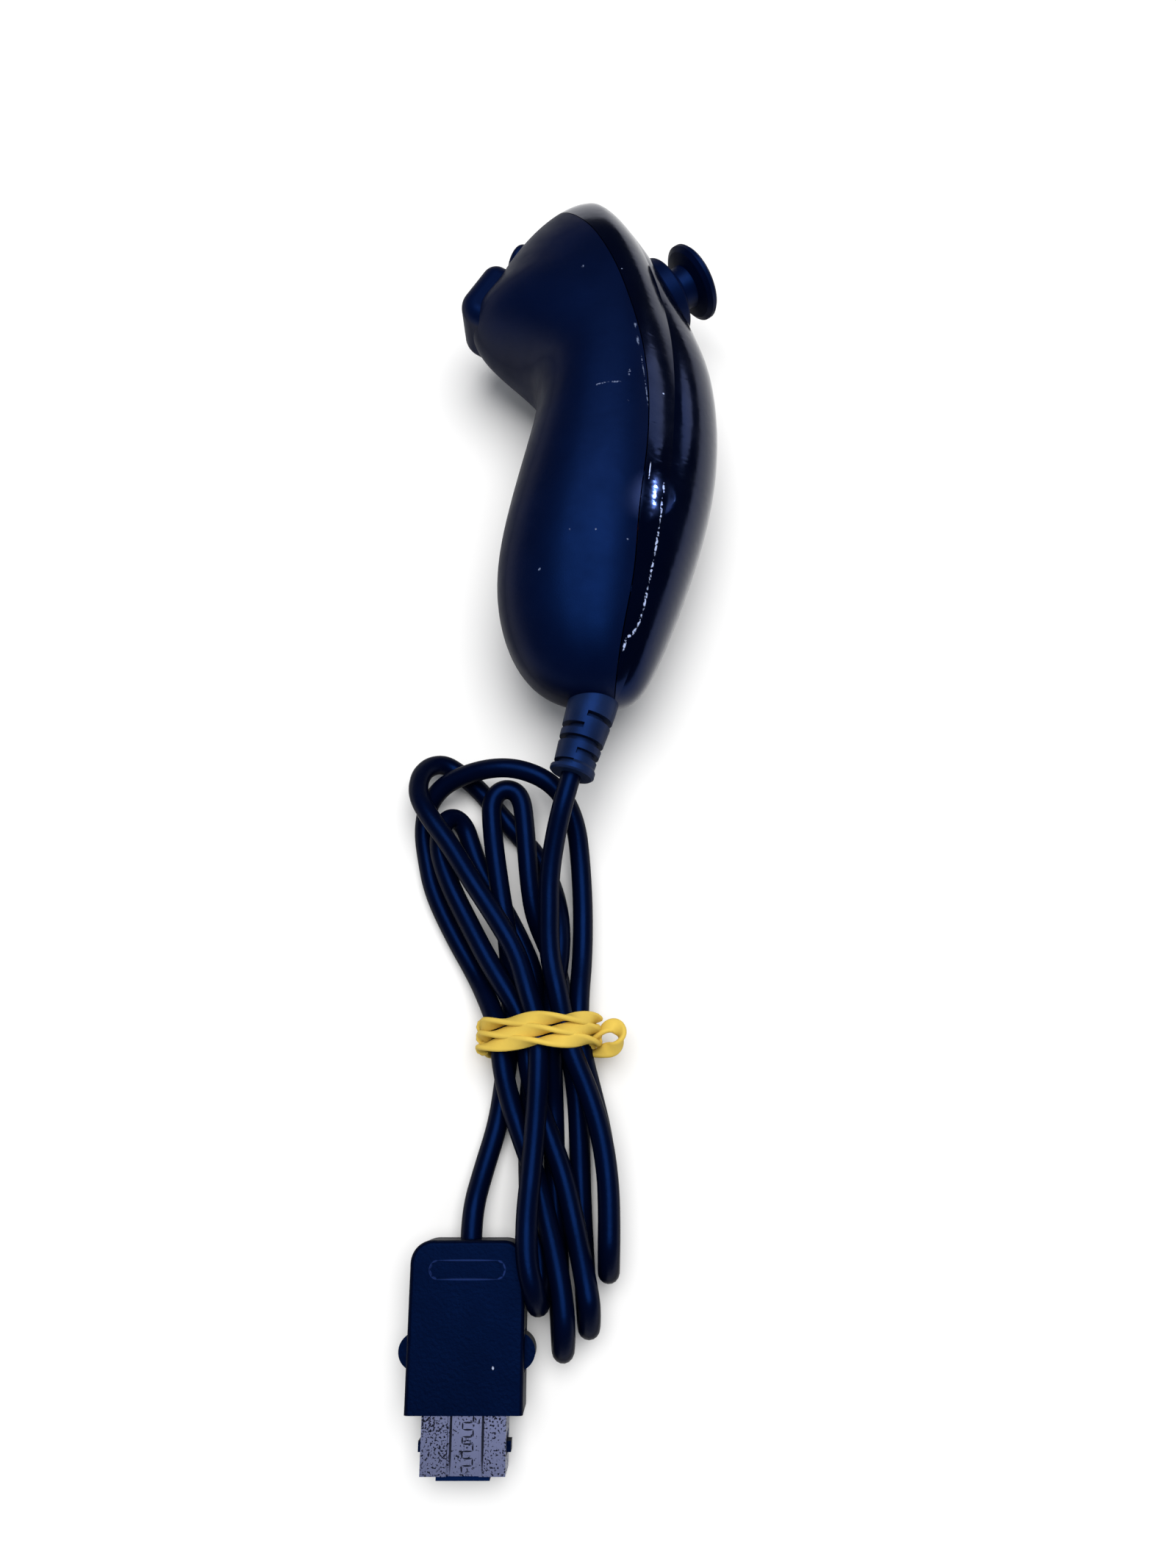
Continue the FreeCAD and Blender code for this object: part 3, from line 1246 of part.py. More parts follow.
def plug_latch(name, sign):
    """A lever with its press button, its eye on the cover's pin and its hook at the nose."""
    low = plug_middle - size.latch_height / 2
    side = float(size.latch_pivot_side)
    inside = side + float(size.latch_arm) / 2
    arm_start = float(size.latch_pivot)
    arm_end = float(size.hook_place) + 1.0
    arm = plug_block(name + "_arm", size.latch_arm, arm_end - arm_start, size.latch_height - 1.0,
                     sign * side, arm_start, low + 0.5)
    button = rod(name + "_button", plug, size.latch_round, size.latch_height,
                 sign * float(size.latch_reach - size.latch_round), -float(size.latch_place), low)
    eye = rod(name + "_eye", plug, size.latch_eye_radius, size.latch_height - 1.0, sign * side,
              -arm_start, low + 0.5)
    hook_wide = float(size.hook_reach) - side
    hook = plug_block(name + "_hook", hook_wide, 1.6, 3.0, sign * (side + hook_wide / 2),
                      arm_end - 1.6, plug_middle - 1.5)
    hole = rod(name + "_hole", plug, size.latch_pin_radius + size.running_gap,
               size.plug_height, sign * side, -arm_start, 0)
    keep(name, cut(name, join(name + "_whole", [arm, button, eye, hook]), hole))


def plug_inside():
    reach = float(size.latch_pivot_side) - float(size.latch_arm) / 2 - float(size.spring_wire)
    spring = coil("plug_latch_spring",
                  place(plug, -reach, -12.6, plug_middle + 1.9, TO_X), 1.1, 0.2, 7, 2 * reach)
    keep("plug_latch_spring", spring)
    end = primitive("Cylinder", "plug_cord_end", place(plug, 0, 0, plug_middle, BACKWARD * TO_Y),
                    Radius=size.cord_radius, Height=5.0)
    keep("plug_cord_end", end)
    wires = [primitive("Cylinder", "plug_wire_%d" % number,
                       place(plug, (number - 1.5) * 0.8, -5.0, plug_middle - 0.25, BACKWARD * TO_Y),
                       Radius=size.wire_radius, Height=5.5) for number in range(4)]
    keep("plug_wires", join("plug_wires", wires))


lower_shell()
upper_shell()
casing_screws()
stick_ring()
stick_cap()
stick_shaft()
stick_rockers()
stick_housing()
main_board()
cord_wires()
trigger()
small_button()
button_board()
strain_relief()
cord_lead()
cord_band(cord_hank())
cord_tail()
plug_covers()
plug_nose()
plug_latch("plug_latch_left", -1)
plug_latch("plug_latch_right", 1)
plug_inside()
doc.recompute()

failed = [item.Name for item in doc.Objects if set(item.State) & {"Invalid", "Error"}]
failed += [piece.Label for piece in nodes
           if piece.Shape.isNull() or not piece.Shape.isValid()]
if failed:
    raise RuntimeError("these pieces didn't build: " + ", ".join(failed))
print("%d pieces" % len(nodes))
os.makedirs("parts", exist_ok=True)
for piece in nodes:
    piece.Shape.exportStep("parts/%s.step" % piece.Label)
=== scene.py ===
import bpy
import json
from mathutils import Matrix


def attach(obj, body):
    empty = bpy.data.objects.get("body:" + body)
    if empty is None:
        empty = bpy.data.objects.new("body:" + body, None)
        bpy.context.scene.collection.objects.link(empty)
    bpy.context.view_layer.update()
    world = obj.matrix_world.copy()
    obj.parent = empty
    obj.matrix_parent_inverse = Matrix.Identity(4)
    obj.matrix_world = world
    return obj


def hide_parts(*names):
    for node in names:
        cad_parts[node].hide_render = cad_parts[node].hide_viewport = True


bl_info = {
    "name": "One-Handed Motion Controller",
    "version": (1, 0, 0),
    "blender": (4, 5, 0),
    "location": "View3D > Sidebar > Controller",
    "description": "Finishes, cord and rubber band of a wired one-handed controller",
    "category": "Object",
}

import json
import math

import bmesh
import bpy
from mathutils import Vector

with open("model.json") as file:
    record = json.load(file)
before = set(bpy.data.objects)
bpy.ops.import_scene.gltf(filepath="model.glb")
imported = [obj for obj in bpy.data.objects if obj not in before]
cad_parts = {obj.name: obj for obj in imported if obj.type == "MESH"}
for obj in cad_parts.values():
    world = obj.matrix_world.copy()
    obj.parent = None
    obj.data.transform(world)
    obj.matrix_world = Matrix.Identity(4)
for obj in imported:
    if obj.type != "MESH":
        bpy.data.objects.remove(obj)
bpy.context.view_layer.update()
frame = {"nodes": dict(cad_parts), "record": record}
MM = 0.001  # metres in a millimetre

# The cord's route in millimetres: strain relief, lead, the hank's legs, tail, plug
CORD_ROUTE = (
    (-3.06, -69.76, 19.1), (-4.25, -73.9, 19.1), (-5.9, -80.4, 16.7), (-7, -87.4, 14.6),
    (-7, -94.2, 13.4), (-7, -98.1, 12.7), (-6.6, -102.6, 12.2), (-5.4, -107.6, 12.6),
    (-4, -114.7, 11.2), (-2.2, -119.7, 11.1), (0, -124.7, 10.6), (2.4, -132.1, 10.4),
    (3.5, -140, 10.4), (3.6, -146.9, 10.3), (3.5, -150.9, 10.2), (3.5, -155.1, 6.2),
    (3.5, -151.3, 2.2), (3.6, -145.2, 2.2), (3.4, -138, 2.6), (2.3, -130.9, 4.2),
    (0.7, -124.8, 6), (-0.9, -118.8, 7.1), (-1.7, -113.8, 7.3), (-1.6, -107.7, 6.9),
    (-1, -100.5, 5.2), (-0.9, -91.4, 5.2), (-1.4, -82.5, 6), (-2.2, -75.9, 7.8),
    (-4.5, -70.8, 9.6), (-7.9, -67.5, 10.2), (-12.9, -65.4, 10.2), (-17.8, -65, 9.8),
    (-23, -65.7, 8.2), (-27.8, -67.4, 6.2), (-30.9, -70.7, 4), (-31.8, -75.4, 2.5),
    (-30.8, -81.4, 2.1), (-29.3, -87.6, 2.1), (-25.2, -95.8, 2.1), (-20.5, -103.6, 2.6),
    (-17.7, -109.5, 5.3), (-15.8, -114.3, 7.3), (-15.2, -120.4, 7.4), (-13.7, -126.4, 6.7),
    (-11.5, -132.5, 6.5), (-9.1, -138.5, 6.5), (-7.2, -145, 7.8), (-5.5, -151.4, 9.4),
    (-4.2, -157.8, 10.2), (-3.8, -162.8, 10.2), (-4.1, -167.2, 6.2), (-4.5, -163.7, 2.2),
    (-5.15, -153.4, 2.1), (-5.8, -142.1, 2.1), (-6, -132.8, 2.1), (-6.2, -126.7, 2.4),
    (-6.4, -120.7, 5), (-6.6, -114.3, 7.3), (-6.2, -107.4, 7.7), (-5.3, -101.8, 7),
    (-5, -96.8, 7), (-5.5, -91.5, 5.8), (-7, -85.9, 3.4), (-9.7, -80.4, 2.2),
    (-13.4, -76.3, 2.1), (-17.5, -71.6, 2.1), (-21, -67.3, 2.3), (-24.6, -64.2, 2.8),
    (-28.5, -62, 4), (-32, -64.5, 6.5), (-32.4, -70, 9.4), (-29.8, -74.9, 11),
    (-25.6, -80.4, 11.2), (-21.7, -86.8, 11.3), (-16.7, -94.2, 11.3), (-12.8, -100.6, 11.2),
    (-10.7, -107.5, 11.8), (-8.8, -113.8, 11.3), (-8.6, -120.3, 11.8), (-8.9, -129.2, 11.2),
    (-9.7, -139, 11.2), (-10.1, -143.5, 12.3), (-10.2, -147.8, 13.4), (-10, -152.3, 13.7),
    (-8.9, -156.5, 13.3), (-8.1, -159.7, 9.4), (-8.1, -156.4, 5.4), (-8.2, -151.6, 5.2),
    (-8.8, -148.6, 4.8), (-9.8, -145, 3.6), (-10.4, -140.6, 2.2), (-10.6, -130.8, 2.1),
    (-10.4, -122.6, 2.7), (-9.2, -113.8, 3.2), (-9.4, -107.1, 2.8), (-10.4, -102, 2.1),
    (-12.7, -96.9, 2.1), (-15.4, -91.7, 2.1), (-18.5, -86.6, 2.1), (-21.2, -82, 2.1),
    (-22.6, -77.9, 2.2), (-23.8, -74.5, 3), (-25.9, -73.2, 4.7), (-27.7, -75.2, 6.3),
    (-28.2, -78.9, 6.8), (-27.4, -82.9, 6.8), (-25.3, -88.2, 6.8), (-21.8, -94.8, 6.9),
    (-18.5, -100.9, 7.4), (-15.4, -105.9, 7.7), (-12.6, -110.3, 7.4), (-11.1, -114.3, 7.3),
    (-10.5, -120.9, 7.4), (-8.8, -126.9, 6.9), (-6.3, -133, 6.8), (-4.1, -139, 6.8),
    (-2.4, -146, 7.2), (-1, -152.4, 9), (-0.1, -156.8, 10.2), (0.3, -159.3, 10.2),
    (0.2, -163.7, 6.2), (-0.2, -160.1, 2.2), (-0.8, -151.3, 2.1), (-1.3, -141.1, 2.1),
    (-1.5, -132.8, 2.1), (-1.8, -126.7, 2.1), (-2.5, -120.5, 2.9), (-4.4, -113.8, 3.2),
    (-4.8, -107.1, 2.8), (-5.7, -102, 2.3), (-8, -97.1, 3.2), (-10, -92.5, 5.7),
    (-10.9, -86.7, 6.7), (-11.6, -79.6, 6.6), (-12.1, -74.6, 6.6), (-12.5, -71.2, 6.6),
    (-13.6, -69, 6.6), (-15.5, -68.2, 6.6), (-17.4, -69, 6.6), (-18.5, -71.3, 6.6),
    (-18.2, -75.6, 6.6), (-17.6, -80.6, 6.6), (-16.3, -88.7, 6.6), (-15, -95.7, 6.4),
    (-14.5, -100.4, 4.9), (-14.1, -105.1, 2.9), (-14, -111.8, 3.1), (-14.3, -116.5, 3.1),
    (-14.8, -120.5, 2.9), (-15.9, -129.4, 2.3), (-18.4, -138, 3.6), (-19.9, -144.4, 5.75),
    (-19.9, -148.8, 5.75),
)

# One turn of the rubber band round the hank's waist, as (across, height) in millimetres,
# and the loop at its right, as (across, along, height)
BAND_TURN = (
    (1.4, 7.4), (0.9, 10.2), (-2.2, 13.9), (-6.4, 14.4), (-10.4, 14.2), (-15.0, 11.8),
    (-18.6, 9.4), (-18.8, 5.6), (-16.2, 1.7), (-9.4, 1.4), (-3.2, 1.6), (0.2, 3.9),
)
BAND_LOOP = (
    (2.2, -117.6, 8.0), (5.0, -117.4, 9.0), (6.3, -115.0, 9.4),
    (4.8, -113.0, 9.2), (2.2, -114.0, 8.8), (0.8, -116.6, 7.4),
)
BAND_TURNS = 3
BAND_START = -112.2  # millimetres along the hank to the first turn
BAND_PITCH = 1.9  # millimetres from one turn to the next
BAND_TWIST = 1.25  # radians from one point to the next

# The half length of a mark, as a share of the stretch of line that it covers
MARK_OVERLAP = 0.62


def stroke(width, *points):
    """A worn line as marks, each x, y, angle, half length and half width in millimetres."""
    marks = []
    for start, end in zip(points, points[1:]):
        run, rise = end[0] - start[0], end[1] - start[1]
        marks.append(((start[0] + end[0]) / 2, (start[1] + end[1]) / 2,
                      math.degrees(math.atan2(rise, run)),
                      MARK_OVERLAP * math.hypot(run, rise), width))
    return marks


def jigsaw(across, half, start, pitch, teeth):
    """The square teeth of the seam that closes a folded steel shell."""
    points = []
    for tooth in range(teeth):
        top = start - pitch * tooth
        points += [(across + half, top), (across + half, top - pitch / 2),
                   (across - half, top - pitch / 2), (across - half, top - pitch)]
    return points


# The steel nose: the smooth channel, the seam, and dark lines of painted shade along the two
# creases beside it
CHANNEL = ((-19.4, -179.5, 90, 60.0, 2.6),)
SEAM_AND_CREASE_SHADE = (*stroke(0.16, *jigsaw(-19.25, 0.85, -175.2, 2.05, 4)),
        *stroke(0.26, (-22.0, -172.0), (-22.0, -184.0)),
        *stroke(0.26, (-16.8, -172.0), (-16.8, -184.0)))
# Painted highlight: a pale line round the rim of the plug's pill-shaped recess, for the light
# its edges catch
PILL_RIM_HIGHLIGHT = stroke(0.2, (-24.9, -151.9), (-14.9, -151.9), (-14.0, -152.3), (-13.6, -153.3),
              (-14.0, -154.4), (-14.9, -154.8), (-24.9, -154.8), (-25.8, -154.4),
              (-26.2, -153.3), (-25.8, -152.3), (-24.9, -151.9))
# Nicks, scratches and specks on the lower shell and the plug; on the upper shell, a painted
# highlight along the crease's sharp edge and a few specks
SHELL_MARKS = (
    *stroke(0.32, (8.9, 14.9), (9.0, 13.2)), *stroke(0.36, (9.1, 12.0), (9.6, 9.4)),
    *stroke(0.16, (9.9, 8.0), (10.6, 2.5), (11.2, -3.4)),
    *stroke(0.24, (0.8, 0.0), (3.6, 0.7), (6.4, 0.9)), *stroke(0.3, (7.6, 2.3), (7.8, 3.9)),
    (-1.0, 27.7, 60, 0.5, 0.3), (7.4, -2.9, 80, 0.4, 0.3), (1.4, -28.8, 0, 0.25, 0.25),
    (-3.3, -28.7, 0, 0.25, 0.25), (7.1, -30.2, 0, 0.3, 0.3), (-8.7, -35.3, 40, 0.45, 0.25),
)
# Painted highlight: the long pale line along the crease between the strip and the top panel
# stands in for light caught by its sharp edge
STRIP_CREASE_HIGHLIGHT_AND_SPECKS = (
    *stroke(0.16, (11.6, -13.8), (11.0, -18.8)),
    *stroke(0.32, (14.1, -17.0), (13.8, -20.0), (13.1, -25.7), (12.0, -32.2), (10.9, -37.3),
            (9.9, -42.2), (8.8, -45.2), (7.8, -46.7), (6.9, -47.2), (6.2, -49.8)),
    (6.5, 26.8, 0, 0.25, 0.25), (14.2, 0.8, 0, 0.3, 0.3),
)
PLUG_MARKS = ((-15.3, -168.0, 80, 0.4, 0.25), (-18.9, -166.6, 0, 0.15, 0.15))
# The stretch of the upper shell that is polished by wear
STRIP_SHINE = ((12.1, -21.0, 82, 13.0, 2.6),)

# What every moulded piece shares, in metres and in steps of roughness
SMUDGE_SIZE = 0.012
GLOSS_SIZE = 0.004
GLOSS_CHANGE = 0.04
MARK_ROUGHNESS = 0.3
# How far a face turns away while its gloss fades, from 0 to 1
FADE_START = 0.1
FADE_END = 0.55

RELIEF_COLOUR = (0.008, 0.017, 0.055)
# The pale colour of the painted highlight on the recess's rim
PILL_HIGHLIGHT_COLOUR = (0.010, 0.020, 0.080)
# Slot: name, colour, roughness and metallic share of what the shells hide
HIDDEN_FINISHES = {
    "steel": ("bright_steel", (0.52, 0.52, 0.54), 0.28, 1.0),
    "contact_brass": ("bright_brass", (0.78, 0.55, 0.20), 0.25, 1.0),
    "circuit_board": ("green_board", (0.010, 0.085, 0.035), 0.35, 0.0),
    "component_black": ("chip_black", (0.012, 0.012, 0.013), 0.4, 0.0),
    "inner_plastic": ("pale_plastic", (0.30, 0.31, 0.33), 0.45, 0.0),
    "wire_cover": ("red_insulation", (0.45, 0.05, 0.04), 0.4, 0.0),
}

# The stage, in metres and degrees
FLOOR_HALF = 8.0
TOP_LIGHT_PLACE = (0.05, 0.1, 1.15)
TOP_LIGHT_TARGET = (0, -0.06, 0)
TOP_LIGHT_SIZE = 1.0
STRIP_PLACE = (0.0114, -0.0208, 0.0343)  # the spot on the upper shell that shines
CARD_PLACE = (0.705, 0.49, 0.335)
CARD_SIZE = 0.25
SPARK_PLACE = (0.313, 0.090, 0.174)
SPARK_SIZE = 0.004
SPARK_BEAM = 1
AIR_COLOUR = (0.9, 0.94, 1.0)
AIR_MIRRORED = 0.12  # the share of the air's light that surfaces mirror
CAMERA_LENS = 27.04
CAMERA_PLACE = (0, -0.139, 0.221)
CAMERA_PITCH = 18.5


def metres(points):
    """Points in millimetres as points in metres."""
    return [tuple(value * MM for value in point) for point in points]


def darker(colour, share):
    """The colour at a share of its brightness."""
    return tuple(share * part for part in colour)


# Materials

class Look:
    """A procedural material, built node by node on Object coordinates."""

    def __init__(self, name):
        self.material = bpy.data.materials.new(name)
        self.material.use_nodes = True
        self.nodes = self.material.node_tree.nodes
        self.links = self.material.node_tree.links
        self.shader = next(n for n in self.nodes if n.type == "BSDF_PRINCIPLED")
        self.place = self.nodes.new("ShaderNodeTexCoord").outputs["Object"]
        self.bump = None
        # The colour and the roughness that nicks and painted highlights go over
        self.shade = None
        self.gloss = None

    def plain(self, **values):
        """Sets sockets of the shader, with an underscore for each space in their names."""
        for socket, value in values.items():
            self.shader.inputs[socket.replace("_", " ")].default_value = value
        return self

    def noise(self, size, detail=3):
        """Noise whose features are about size metres across."""
        node = self.nodes.new("ShaderNodeTexNoise")
        node.inputs["Scale"].default_value = 1 / size
        node.inputs["Detail"].default_value = detail
        self.links.new(self.place, node.inputs["Vector"])
        return node.outputs["Fac"]

    def spots(self, marks):
        """The strongest of soft spots: x, y, angle, half length and half width in mm."""
        strongest = 0.0
        for across, along, angle, length, width in marks:
            node = self.nodes.new("ShaderNodeMapping")
            node.vector_type = "TEXTURE"
            node.inputs["Location"].default_value = (across * MM, along * MM, 0)
            node.inputs["Rotation"].default_value = (0, 0, math.radians(angle))
            node.inputs["Scale"].default_value = (length * MM, width * MM, 1)
            self.links.new(self.place, node.inputs["Vector"])
            spot = self.nodes.new("ShaderNodeTexGradient")
            spot.gradient_type = "SPHERICAL"
            self.links.new(node.outputs["Vector"], spot.inputs["Vector"])
            strongest = self.combined(strongest, spot.outputs["Fac"], "MAXIMUM")
        return strongest

    def span(self, value, low, high, to_low=0.0, to_high=1.0):
        """The value's low..high spread over to_low..to_high, and held at both ends."""
        node = self.nodes.new("ShaderNodeMapRange")
        for socket, number in zip(("From Min", "From Max", "To Min", "To Max"),
                                  (low, high, to_low, to_high)):
            node.inputs[socket].default_value = number
        self.links.new(value, node.inputs["Value"])
        return node.outputs["Result"]

    def combined(self, first, second, operation="ADD"):
        """Two values, each a number or a socket, put through a Math node."""
        node = self.nodes.new("ShaderNodeMath")
        node.operation = operation
        for socket, value in zip(node.inputs, (first, second)):
            if isinstance(value, (int, float)):
                socket.default_value = value
            else:
                self.links.new(value, socket)
        return node.outputs["Value"]

    def mixed(self, share, first, second):
        """Two colours, each a tuple or a socket, mixed by the share of the second."""
        node = self.nodes.new("ShaderNodeMix")
        node.data_type = "RGBA"
        self.links.new(share, node.inputs["Factor"])
        for socket, value in zip((node.inputs[6], node.inputs[7]), (first, second)):
            if isinstance(value, tuple):
                socket.default_value = (*value, 1)
            else:
                self.links.new(value, socket)
        return node.outputs[2]

    def paint(self, socket, value):
        """Lets a value drive one of the shader's sockets."""
        self.links.new(value, self.shader.inputs[socket])

    def raised(self, height, depth):
        """Adds a bump of a depth in metres over the ones before it."""
        node = self.nodes.new("ShaderNodeBump")
        node.inputs["Strength"].default_value = 1.0
        node.inputs["Distance"].default_value = depth
        self.links.new(height, node.inputs["Height"])
        if self.bump:
            self.links.new(self.bump, node.inputs["Normal"])
        self.bump = node.outputs["Normal"]
        self.links.new(self.bump, self.shader.inputs["Normal"])


def moulded(name, colour, sheen, roughness, grain, depth, specular=0.5, rim=0.1, change=0.25):
    """Moulded plastic: smudged gloss that fades toward the rim, and a fine grain."""
    look = Look(name).plain(Specular_Tint=(*sheen, 1))
    away = look.nodes.new("ShaderNodeLayerWeight").outputs["Facing"]
    faded = look.span(away, FADE_START, FADE_END, specular, rim * specular)
    look.paint("Specular IOR Level", faded)
    smudge = look.span(look.noise(SMUDGE_SIZE, detail=7), 0.35, 0.7)
    look.shade = look.mixed(smudge, darker(colour, 1 - change), colour)
    look.paint("Base Color", look.shade)
    look.gloss = look.span(look.noise(GLOSS_SIZE, detail=8), 0.3, 0.7,
                           roughness - GLOSS_CHANGE, roughness + GLOSS_CHANGE)
    look.paint("Roughness", look.gloss)
    look.raised(look.noise(grain, detail=2), depth)
    return look


def nicks_and_highlights(look, marks, pale, low, high, size=0.0004):
    """Pale nicks and scratches, and pale painted highlights, which show where a mark is
    stronger than low to high.
    """
    broken = look.combined(look.spots(marks),
                           look.span(look.noise(size, detail=1), 0.35, 0.6), "MULTIPLY")
    nick_and_highlight_share = look.span(broken, low, high)
    look.paint("Base Color", look.mixed(nick_and_highlight_share, look.shade, pale))
    rougher = look.combined(nick_and_highlight_share, MARK_ROUGHNESS, "MULTIPLY")
    look.paint("Roughness", look.combined(look.gloss, rougher))


def casing_matt(colour, sheen, roughness):
    look = moulded("casing_matt", colour, sheen, roughness,
                   grain=0.00022, depth=0.000012, specular=0.25)
    nicks_and_highlights(look, SHELL_MARKS, pale=(0.12, 0.15, 0.24), low=0.15, high=0.5)
    return look.material


def casing_gloss(colour, sheen, roughness):
    look = moulded("casing_gloss", colour, sheen, roughness,
                   grain=0.0012, depth=0.000003, rim=0.6)
    polished = look.span(look.spots(STRIP_SHINE), 0.0, 0.3, 0.0, -0.08)
    look.gloss = look.combined(look.gloss, polished)
    # Painted highlight: a pale line along the crease, with a few specks
    nicks_and_highlights(look, STRIP_CREASE_HIGHLIGHT_AND_SPECKS, pale=(0.42, 0.5, 0.75), low=0.2, high=0.5, size=0.0005)
    return look.material


def dull_plastic(colour, sheen, roughness):
    return moulded("dull_plastic", colour, sheen, roughness,
                   grain=0.0003, depth=0.00001, specular=0.3).material


def plug_plastic(colour, sheen, roughness):
    look = moulded("plug_grained", colour, sheen, roughness,
                   grain=0.0006, depth=0.00005, specular=0.12)
    look.raised(look.noise(0.0002, detail=2), 0.00001)
    # Painted highlight on the recess's rim
    rim = look.span(look.spots(PILL_RIM_HIGHLIGHT), 0.05, 0.5)
    look.shade = look.mixed(rim, look.shade, PILL_HIGHLIGHT_COLOUR)
    nicks_and_highlights(look, PLUG_MARKS, pale=(0.4, 0.45, 0.6), low=0.15, high=0.5)
    return look.material


def relief_rubber(colour, sheen):
    return moulded("relief_soft", colour, sheen, roughness=0.5,
                   grain=0.0008, depth=0.00003, change=0.45).material


def cord_jacket(colour, sheen):
    return moulded("cord_jacket", colour, sheen, roughness=0.36,
                   grain=0.0006, depth=0.00002, specular=0.25).material


def band_latex(colour):
    return moulded("band_latex", colour, colour, roughness=0.5,
                   grain=0.0009, depth=0.00005, specular=0.3).material


def speckled_steel(colour):
    """Steel with pitted side panels and a smooth channel with a jigsaw seam between them, and
    painted shade along the channel's creases.
    """
    look = Look("speckled_steel").plain(Metallic=1.0)
    patches = look.span(look.noise(0.003), 0.3, 0.7, -0.06, 0.06)
    channel = look.span(look.spots(CHANNEL), 0.0, 0.02, 0.0, 0.06)
    uneven = look.combined(look.noise(0.00035, detail=4), look.combined(patches, channel))
    unpitted = look.span(uneven, 0.38, 0.45)
    # The seam darkens as a joint; the two crease lines are painted shade
    off_seam_and_shade = look.span(look.spots(SEAM_AND_CREASE_SHADE), 0.15, 0.5, 1.0, 0.0)
    bare_and_unshaded = look.combined(unpitted, off_seam_and_shade, "MULTIPLY")
    look.paint("Base Color", look.mixed(bare_and_unshaded, darker(colour, 0.2), colour))
    look.paint("Roughness", look.span(bare_and_unshaded, 0.0, 1.0, 0.7, 0.36))
    look.raised(bare_and_unshaded, 0.00003)
    return look.material


def simple(name, colour, roughness, metallic):
    """A plain finish with faint smudges, for what the shells hide."""
    look = Look(name).plain(Metallic=metallic)
    smudge = look.span(look.noise(0.003, detail=5), 0.3, 0.7)
    look.paint("Base Color", look.mixed(smudge, darker(colour, 0.8), colour))
    look.paint("Roughness", look.span(smudge, 0, 1, roughness + 0.06, roughness - 0.06))
    look.raised(look.noise(0.0005), 0.000005)
    return look.material


# Settings

class FinishSettings(bpy.types.PropertyGroup):
    casing: bpy.props.FloatVectorProperty(
        name="Casing", description="Colour of the casing's plastic", subtype="COLOR",
        size=3, min=0, max=1, default=(0.0008, 0.0035, 0.022))
    sheen: bpy.props.FloatVectorProperty(
        name="Sheen", description="Tint of the light that the plastic reflects",
        subtype="COLOR", size=3, min=0, max=1, default=(0.04, 0.20, 1.0))
    casing_roughness: bpy.props.FloatProperty(
        name="Casing Roughness", description="Roughness of the casing's plastic",
        min=0, max=1, default=0.42)
    gloss_roughness: bpy.props.FloatProperty(
        name="Top Roughness", description="Roughness of the glossy top shell",
        min=0, max=1, default=0.15)
    band: bpy.props.FloatVectorProperty(
        name="Band", description="Colour of the rubber band", subtype="COLOR",
        size=3, min=0, max=1, default=(0.80, 0.56, 0.10))
    steel: bpy.props.FloatVectorProperty(
        name="Steel", description="Colour of the plug's steel shell", subtype="COLOR",
        size=3, min=0, max=1, default=(0.085, 0.095, 0.165))


class CordSettings(bpy.types.PropertyGroup):
    diameter: bpy.props.FloatProperty(
        name="Cord Diameter", description="Diameter of the cord", subtype="DISTANCE",
        min=0.002, max=0.006, default=0.00374)
    band_width: bpy.props.FloatProperty(
        name="Band Width", description="Width of the rubber band", subtype="DISTANCE",
        min=0.001, max=0.006, default=0.0027)
    band_thickness: bpy.props.FloatProperty(
        name="Band Thickness", description="Thickness of the rubber band", subtype="DISTANCE",
        min=0.0005, max=0.003, default=0.0010)


class StudioSettings(bpy.types.PropertyGroup):
    top_light: bpy.props.FloatProperty(
        name="Top Light", description="Power of the wide light overhead", subtype="POWER",
        min=0, default=14.5)
    spark: bpy.props.FloatProperty(
        name="Spark", description="Power of the small light that shines on the strip",
        subtype="POWER", min=0, default=14)
    card: bpy.props.FloatProperty(
        name="Card", description="Power of the dim card beyond the stick", subtype="POWER",
        min=0, default=0.3)
    air: bpy.props.FloatProperty(
        name="Air", description="Strength of the light from all sides", min=0, default=0.38)
    floor: bpy.props.FloatVectorProperty(
        name="Floor", description="Colour of the floor", subtype="COLOR",
        size=3, min=0, max=1, default=(0.90, 0.89, 0.875))


# Pieces

def scene_object(name, data):
    """A new object in the scene's own collection."""
    piece = bpy.data.objects.new(name, data)
    bpy.context.scene.collection.objects.link(piece)
    return piece


def as_piece(piece, material):
    """Gives a new piece its material and the casing to ride on."""
    piece.data.materials.append(material)
    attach(piece, "casing")


def route_curve(name, points, radius, steps, rounding):
    """A rounded curve on one smooth spline through its control points, in millimetres."""
    curve = bpy.data.curves.new(name, "CURVE")
    curve.dimensions = "3D"
    curve.bevel_depth = radius
    curve.bevel_resolution = rounding
    curve.use_fill_caps = True
    spline = curve.splines.new("NURBS")
    spline.points.add(len(points) - 1)
    for knot, point in zip(spline.points, metres(points)):
        knot.co = (*point, 1)
    spline.order_u = 3
    spline.use_endpoint_u = True
    spline.resolution_u = steps
    return curve


def light(name, place, target, size, power, beam=None):
    """A round light, or a spot with a beam in degrees, that looks at a target."""
    bulb = bpy.data.lights.new(name, "SPOT" if beam else "AREA")
    bulb.energy = power
    if beam:
        bulb.spot_size = math.radians(beam)
        bulb.shadow_soft_size = size / 2
    else:
        bulb.shape = "DISK"
        bulb.size = size
    lamp = scene_object(name, bulb)
    lamp.location = place
    lamp.rotation_euler = (Vector(target) - Vector(place)).to_track_quat("-Z", "Y").to_euler()
    return lamp


# Operators

